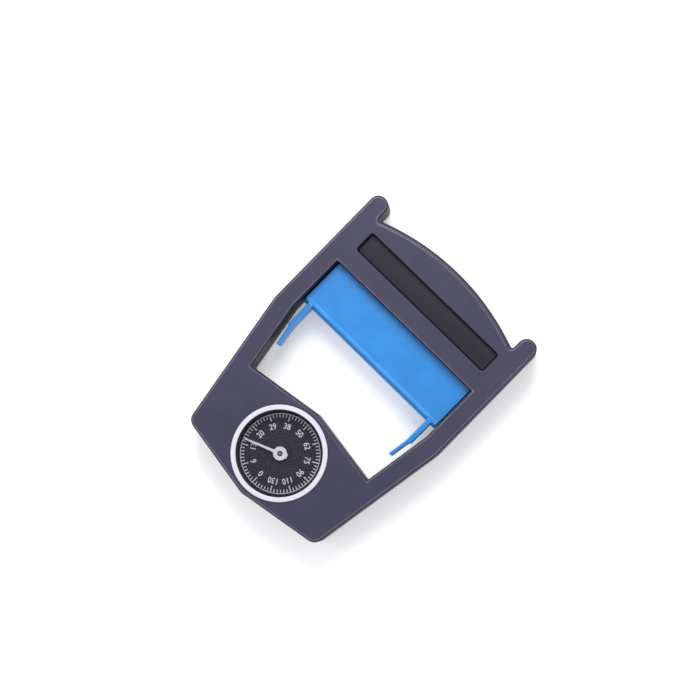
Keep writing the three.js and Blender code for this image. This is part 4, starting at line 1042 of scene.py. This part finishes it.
def scale_print():
    """The white divisions and the circle that they hang from."""
    z0 = dial_high.z + PRINT_GAP
    z1 = z0 + PRINT_THICKNESS
    inner = SCALE_RADIUS - SCALE_LINE
    bm = bmesh.new()
    for k in range(SCALE_DIVISIONS):
        angle = 2 * math.pi * k / SCALE_DIVISIONS
        major = k % MAJOR_EVERY == 0
        length = MAJOR_LENGTH if major else MINOR_LENGTH
        width = MAJOR_WIDTH if major else MINOR_WIDTH
        start = dial_point(inner - PRINT_OVERLAP, angle)
        add_bar(bm, start, dial_point(SCALE_RADIUS - length, angle), width, z0, z1)
    rings = []
    for radius, z in ((SCALE_RADIUS, z0), (SCALE_RADIUS, z1), (inner, z1), (inner, z0)):
        points = [dial_point(radius, 2 * math.pi * k / CIRCLE_SIDES) for k in range(CIRCLE_SIDES)]
        rings.append([bm.verts.new((p.x, p.y, z)) for p in points])
    for lower, upper in zip(rings, rings[1:] + rings[:1]):
        for k in range(CIRCLE_SIDES):
            bm.faces.new((lower[k - 1], lower[k], upper[k], upper[k - 1]))
    obj = make_object("dial_scale", bm)
    return piece(obj, "housing", "pointer_white")


def figure_print(label, angle):
    """One figure of the scale, with its top towards the rim."""
    curve = bpy.data.curves.new(f"figure_{label}", "FONT")
    curve.body = str(label)
    curve.align_x = "CENTER"
    curve.align_y = "CENTER"
    curve.size = 1
    curve.extrude = 0.5
    curve.resolution_u = 6
    curve.offset = 0.012
    curve.space_character = 1.04
    text = bpy.data.objects.new("figure", curve)
    bpy.context.scene.collection.objects.link(text)
    bpy.context.view_layer.update()
    mesh = bpy.data.meshes.new_from_object(text.evaluated_get(bpy.context.evaluated_depsgraph_get()))
    bpy.data.objects.remove(text)
    heights = [v.co.y for v in mesh.vertices]
    scale = FIGURE_HEIGHT / (max(heights) - min(heights))
    middle = (max(heights) + min(heights)) / 2
    centre = dial_point(FIGURE_RADIUS, angle)
    outward = dial_point(FIGURE_RADIUS + 1, angle) - centre
    turn = math.atan2(outward.y, outward.x) - math.pi / 2
    z = dial_high.z + PRINT_GAP + PRINT_THICKNESS / 2
    place = (
        Matrix.Diagonal((MM, MM, MM, 1))
        @ Matrix.Translation((centre.x, centre.y, z))
        @ Matrix.Rotation(turn, 4, "Z")
        @ Matrix.Diagonal((scale * FIGURE_WIDTH, scale, PRINT_THICKNESS, 1))
        @ Matrix.Translation((0, -middle, 0))
    )
    mesh.transform(place)
    obj = bpy.data.objects.new(f"dial_figure_{label}", mesh)
    bpy.context.scene.collection.objects.link(obj)
    return piece(obj, "housing", "pointer_white")


bezel_piece()
case_piece()
crystal_piece()
dial_disc()
scale_print()
for figure_index, figure in enumerate(SCALE_FIGURES):
    figure_print(figure, 2 * math.pi * figure_index * MAJOR_EVERY / SCALE_DIVISIONS)

# ---------------------------------------------------------------- pointer

REST_ANGLE = math.radians(68.5)  # clockwise from the scale's 0
POINTER_LENGTH = 21.2
HUB_RADIUS = 3.84
HUB_HOLE = 1.5
BLADE_ROOT = 1.7
BLADE_TIP = 0.9
TAIL_REACH = 4.3
TAIL_WIDTH = 3
POINTER_EDGE = 0.12


def pointer_part(name, corners):
    """A flat part of the pointer with a chamfered upper edge."""
    heights = ((0, pointer_low.z), (0, pointer_high.z - POINTER_EDGE), (POINTER_EDGE, pointer_high.z))
    return loft(name, [ring_at(inset(corners, shift), z) for shift, z in heights])


def pointer_piece():
    """The pointer: its blade, its hub with a hole, and a short tail."""
    z0, z1 = pointer_low.z, pointer_high.z
    blade = [
        Corner(-BLADE_TIP / 2, -POINTER_LENGTH, 0.25, 4),
        Corner(BLADE_TIP / 2, -POINTER_LENGTH, 0.25, 4),
        Corner(BLADE_ROOT / 2, 0, 0.1, 2),
        Corner(-BLADE_ROOT / 2, 0, 0.1, 2),
    ]
    body = pointer_part("pointer_fine", blade)
    hub = lathe("hub", [
        (0, z0), (HUB_RADIUS, z0), (HUB_RADIUS, z1 - POINTER_EDGE), (HUB_RADIUS - POINTER_EDGE, z1), (0, z1),
    ], 0, 0, 72)
    tail_corners = [
        Corner(-TAIL_WIDTH / 2, 0, 0.1, 2),
        Corner(TAIL_WIDTH / 2, 0, 0.1, 2),
        Corner(TAIL_WIDTH / 2, TAIL_REACH, 0.4, 5),
        Corner(-TAIL_WIDTH / 2, TAIL_REACH, 0.4, 5),
    ]
    tail = pointer_part("tail", tail_corners)
    body = cut(join(body, hub, tail), cylinder(0, 0, HUB_HOLE, z0 - THROUGH, z1 + THROUGH, 40))
    turn = Matrix.Translation((0, DIAL_Y * MM, 0)) @ Matrix.Rotation(-REST_ANGLE, 4, "Z")
    body.data.transform(turn)
    return piece(smooth(body, 30), "pointer_train", "pointer_white", "pointer")


pointer_piece()

# ---------------------------------------------------------------- CAD nodes that stay

NODE_SLOTS = {
    "crystal_gasket": "seal_rubber",
    "case_clamp_ring": "zinc_steel",
    "pointer_boss": "black_steel",
    "pinion_arbor": "zinc_steel",
    "rack": "brass",
    "draw_link": "zinc_steel",
    "spring_plate": "zinc_steel",
    "rack_guide": "guide_nylon",
    "hairspring": "spring_wire",
    "hairspring_collet": "brass",
    "hairspring_stud": "brass",
    "movement_back_plate": "brass",
    "movement_front_plate": "brass",
    "back_bush": "brass",
    "front_bush": "brass",
}
SLOTS_BY_WORD = (
    ("spacer", "zinc_steel"),
    ("guide_post", "zinc_steel"),
    ("rod_nut", "brass"),
    ("draw_rod", "zinc_steel"),
    ("link_pin", "zinc_steel"),
    ("rack_rivet", "zinc_steel"),
)


def slot_of(name):
    """The record's material slot for a CAD node that is shown as it is."""
    if name in NODE_SLOTS:
        return NODE_SLOTS[name]
    return next(slot for word, slot in SLOTS_BY_WORD if word in name)


for node_name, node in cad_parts.items():
    if node.hide_render:
        continue
    material = materials[slot_of(node_name)]
    if not node.material_slots:
        node.data.materials.append(material)
    for material_slot in node.material_slots:
        material_slot.material = material

# ---------------------------------------------------------------- floor, lights and camera

VIEW_WIDTH = 381.5 * MM  # width of the picture at the housing's face
VIEW_DISTANCE = 1.15
VIEW_TILT = math.radians(5.5)  # towards the object's right
VIEW_ROLL = math.radians(44.5)
VIEW_CENTRE = Vector((-11.8, 12.05, FACE_Z)) * MM
SENSOR = 36.0
FLOOR_HALF = 3.0  # metres
FLOOR_DROP = 0.0002
FLOOR_GLOW = 0.3
SKY_COLOUR = (0.95, 0.96, 1.0, 1)
SKY_STRENGTH = 0.8


def make_floor():
    """A pale plain floor under the instrument."""
    mesh = bpy.data.meshes.new("floor")
    half = FLOOR_HALF
    corners = [(-half, -half, 0), (half, -half, 0), (half, half, 0), (-half, half, 0)]
    mesh.from_pydata(corners, [], [(0, 1, 2, 3)])
    floor = bpy.data.objects.new("floor", mesh)
    bpy.context.scene.collection.objects.link(floor)
    floor.location.z = -FLOOR_DROP
    n = Nodes("floor")
    n.link(n.ramp(n.noise(3, 2), (0.3, 0.86), (0.7, 0.88)), "Base Color")
    n.set(Roughness=0.9, Specular_IOR_Level=0.1, Emission_Color=(1, 1, 1, 1), Emission_Strength=FLOOR_GLOW)
    floor.data.materials.append(n.material)


def area_light(name, place, size, power):
    """A round soft light that points at the middle of the instrument."""
    light = bpy.data.lights.new(name, "AREA")
    light.shape = "DISK"
    light.size = size
    light.energy = power
    obj = bpy.data.objects.new(name, light)
    obj.location = place
    obj.rotation_euler = (-Vector(place)).to_track_quat("-Z", "Y").to_euler()
    bpy.context.scene.collection.objects.link(obj)


def make_lights():
    """An even sky, a key light from the upper left and a large fill light."""
    world = bpy.data.worlds.new("studio")
    world.use_nodes = True
    background = world.node_tree.nodes["Background"]
    background.inputs["Color"].default_value = SKY_COLOUR
    background.inputs["Strength"].default_value = SKY_STRENGTH
    bpy.context.scene.world = world
    area_light("key", (-0.3, 0.36, 0.54), 0.45, 4.1)
    area_light("fill", (-1.1, -1.3, 1.4), 1.5, 6)


def make_camera():
    """A camera nearly straight above the dial, rolled so that the palm rest is at the upper right."""
    camera = bpy.data.cameras.new("camera")
    camera.sensor_width = SENSOR
    camera.lens = SENSOR * VIEW_DISTANCE / VIEW_WIDTH
    camera.clip_start = 0.01
    camera.clip_end = 50
    obj = bpy.data.objects.new("camera", camera)
    back = Vector((math.sin(VIEW_TILT), 0, math.cos(VIEW_TILT)))
    up = Vector((-math.sin(VIEW_ROLL), math.cos(VIEW_ROLL), 0))
    up = (up - back * up.dot(back)).normalized()
    right = up.cross(back)
    turn = Matrix((right, up, back)).transposed()
    obj.matrix_world = Matrix.Translation(VIEW_CENTRE + back * VIEW_DISTANCE) @ turn.to_4x4()
    bpy.context.scene.collection.objects.link(obj)
    bpy.context.scene.camera = obj


make_floor()
make_lights()
make_camera()
bpy.context.scene.view_settings.view_transform = "Standard"
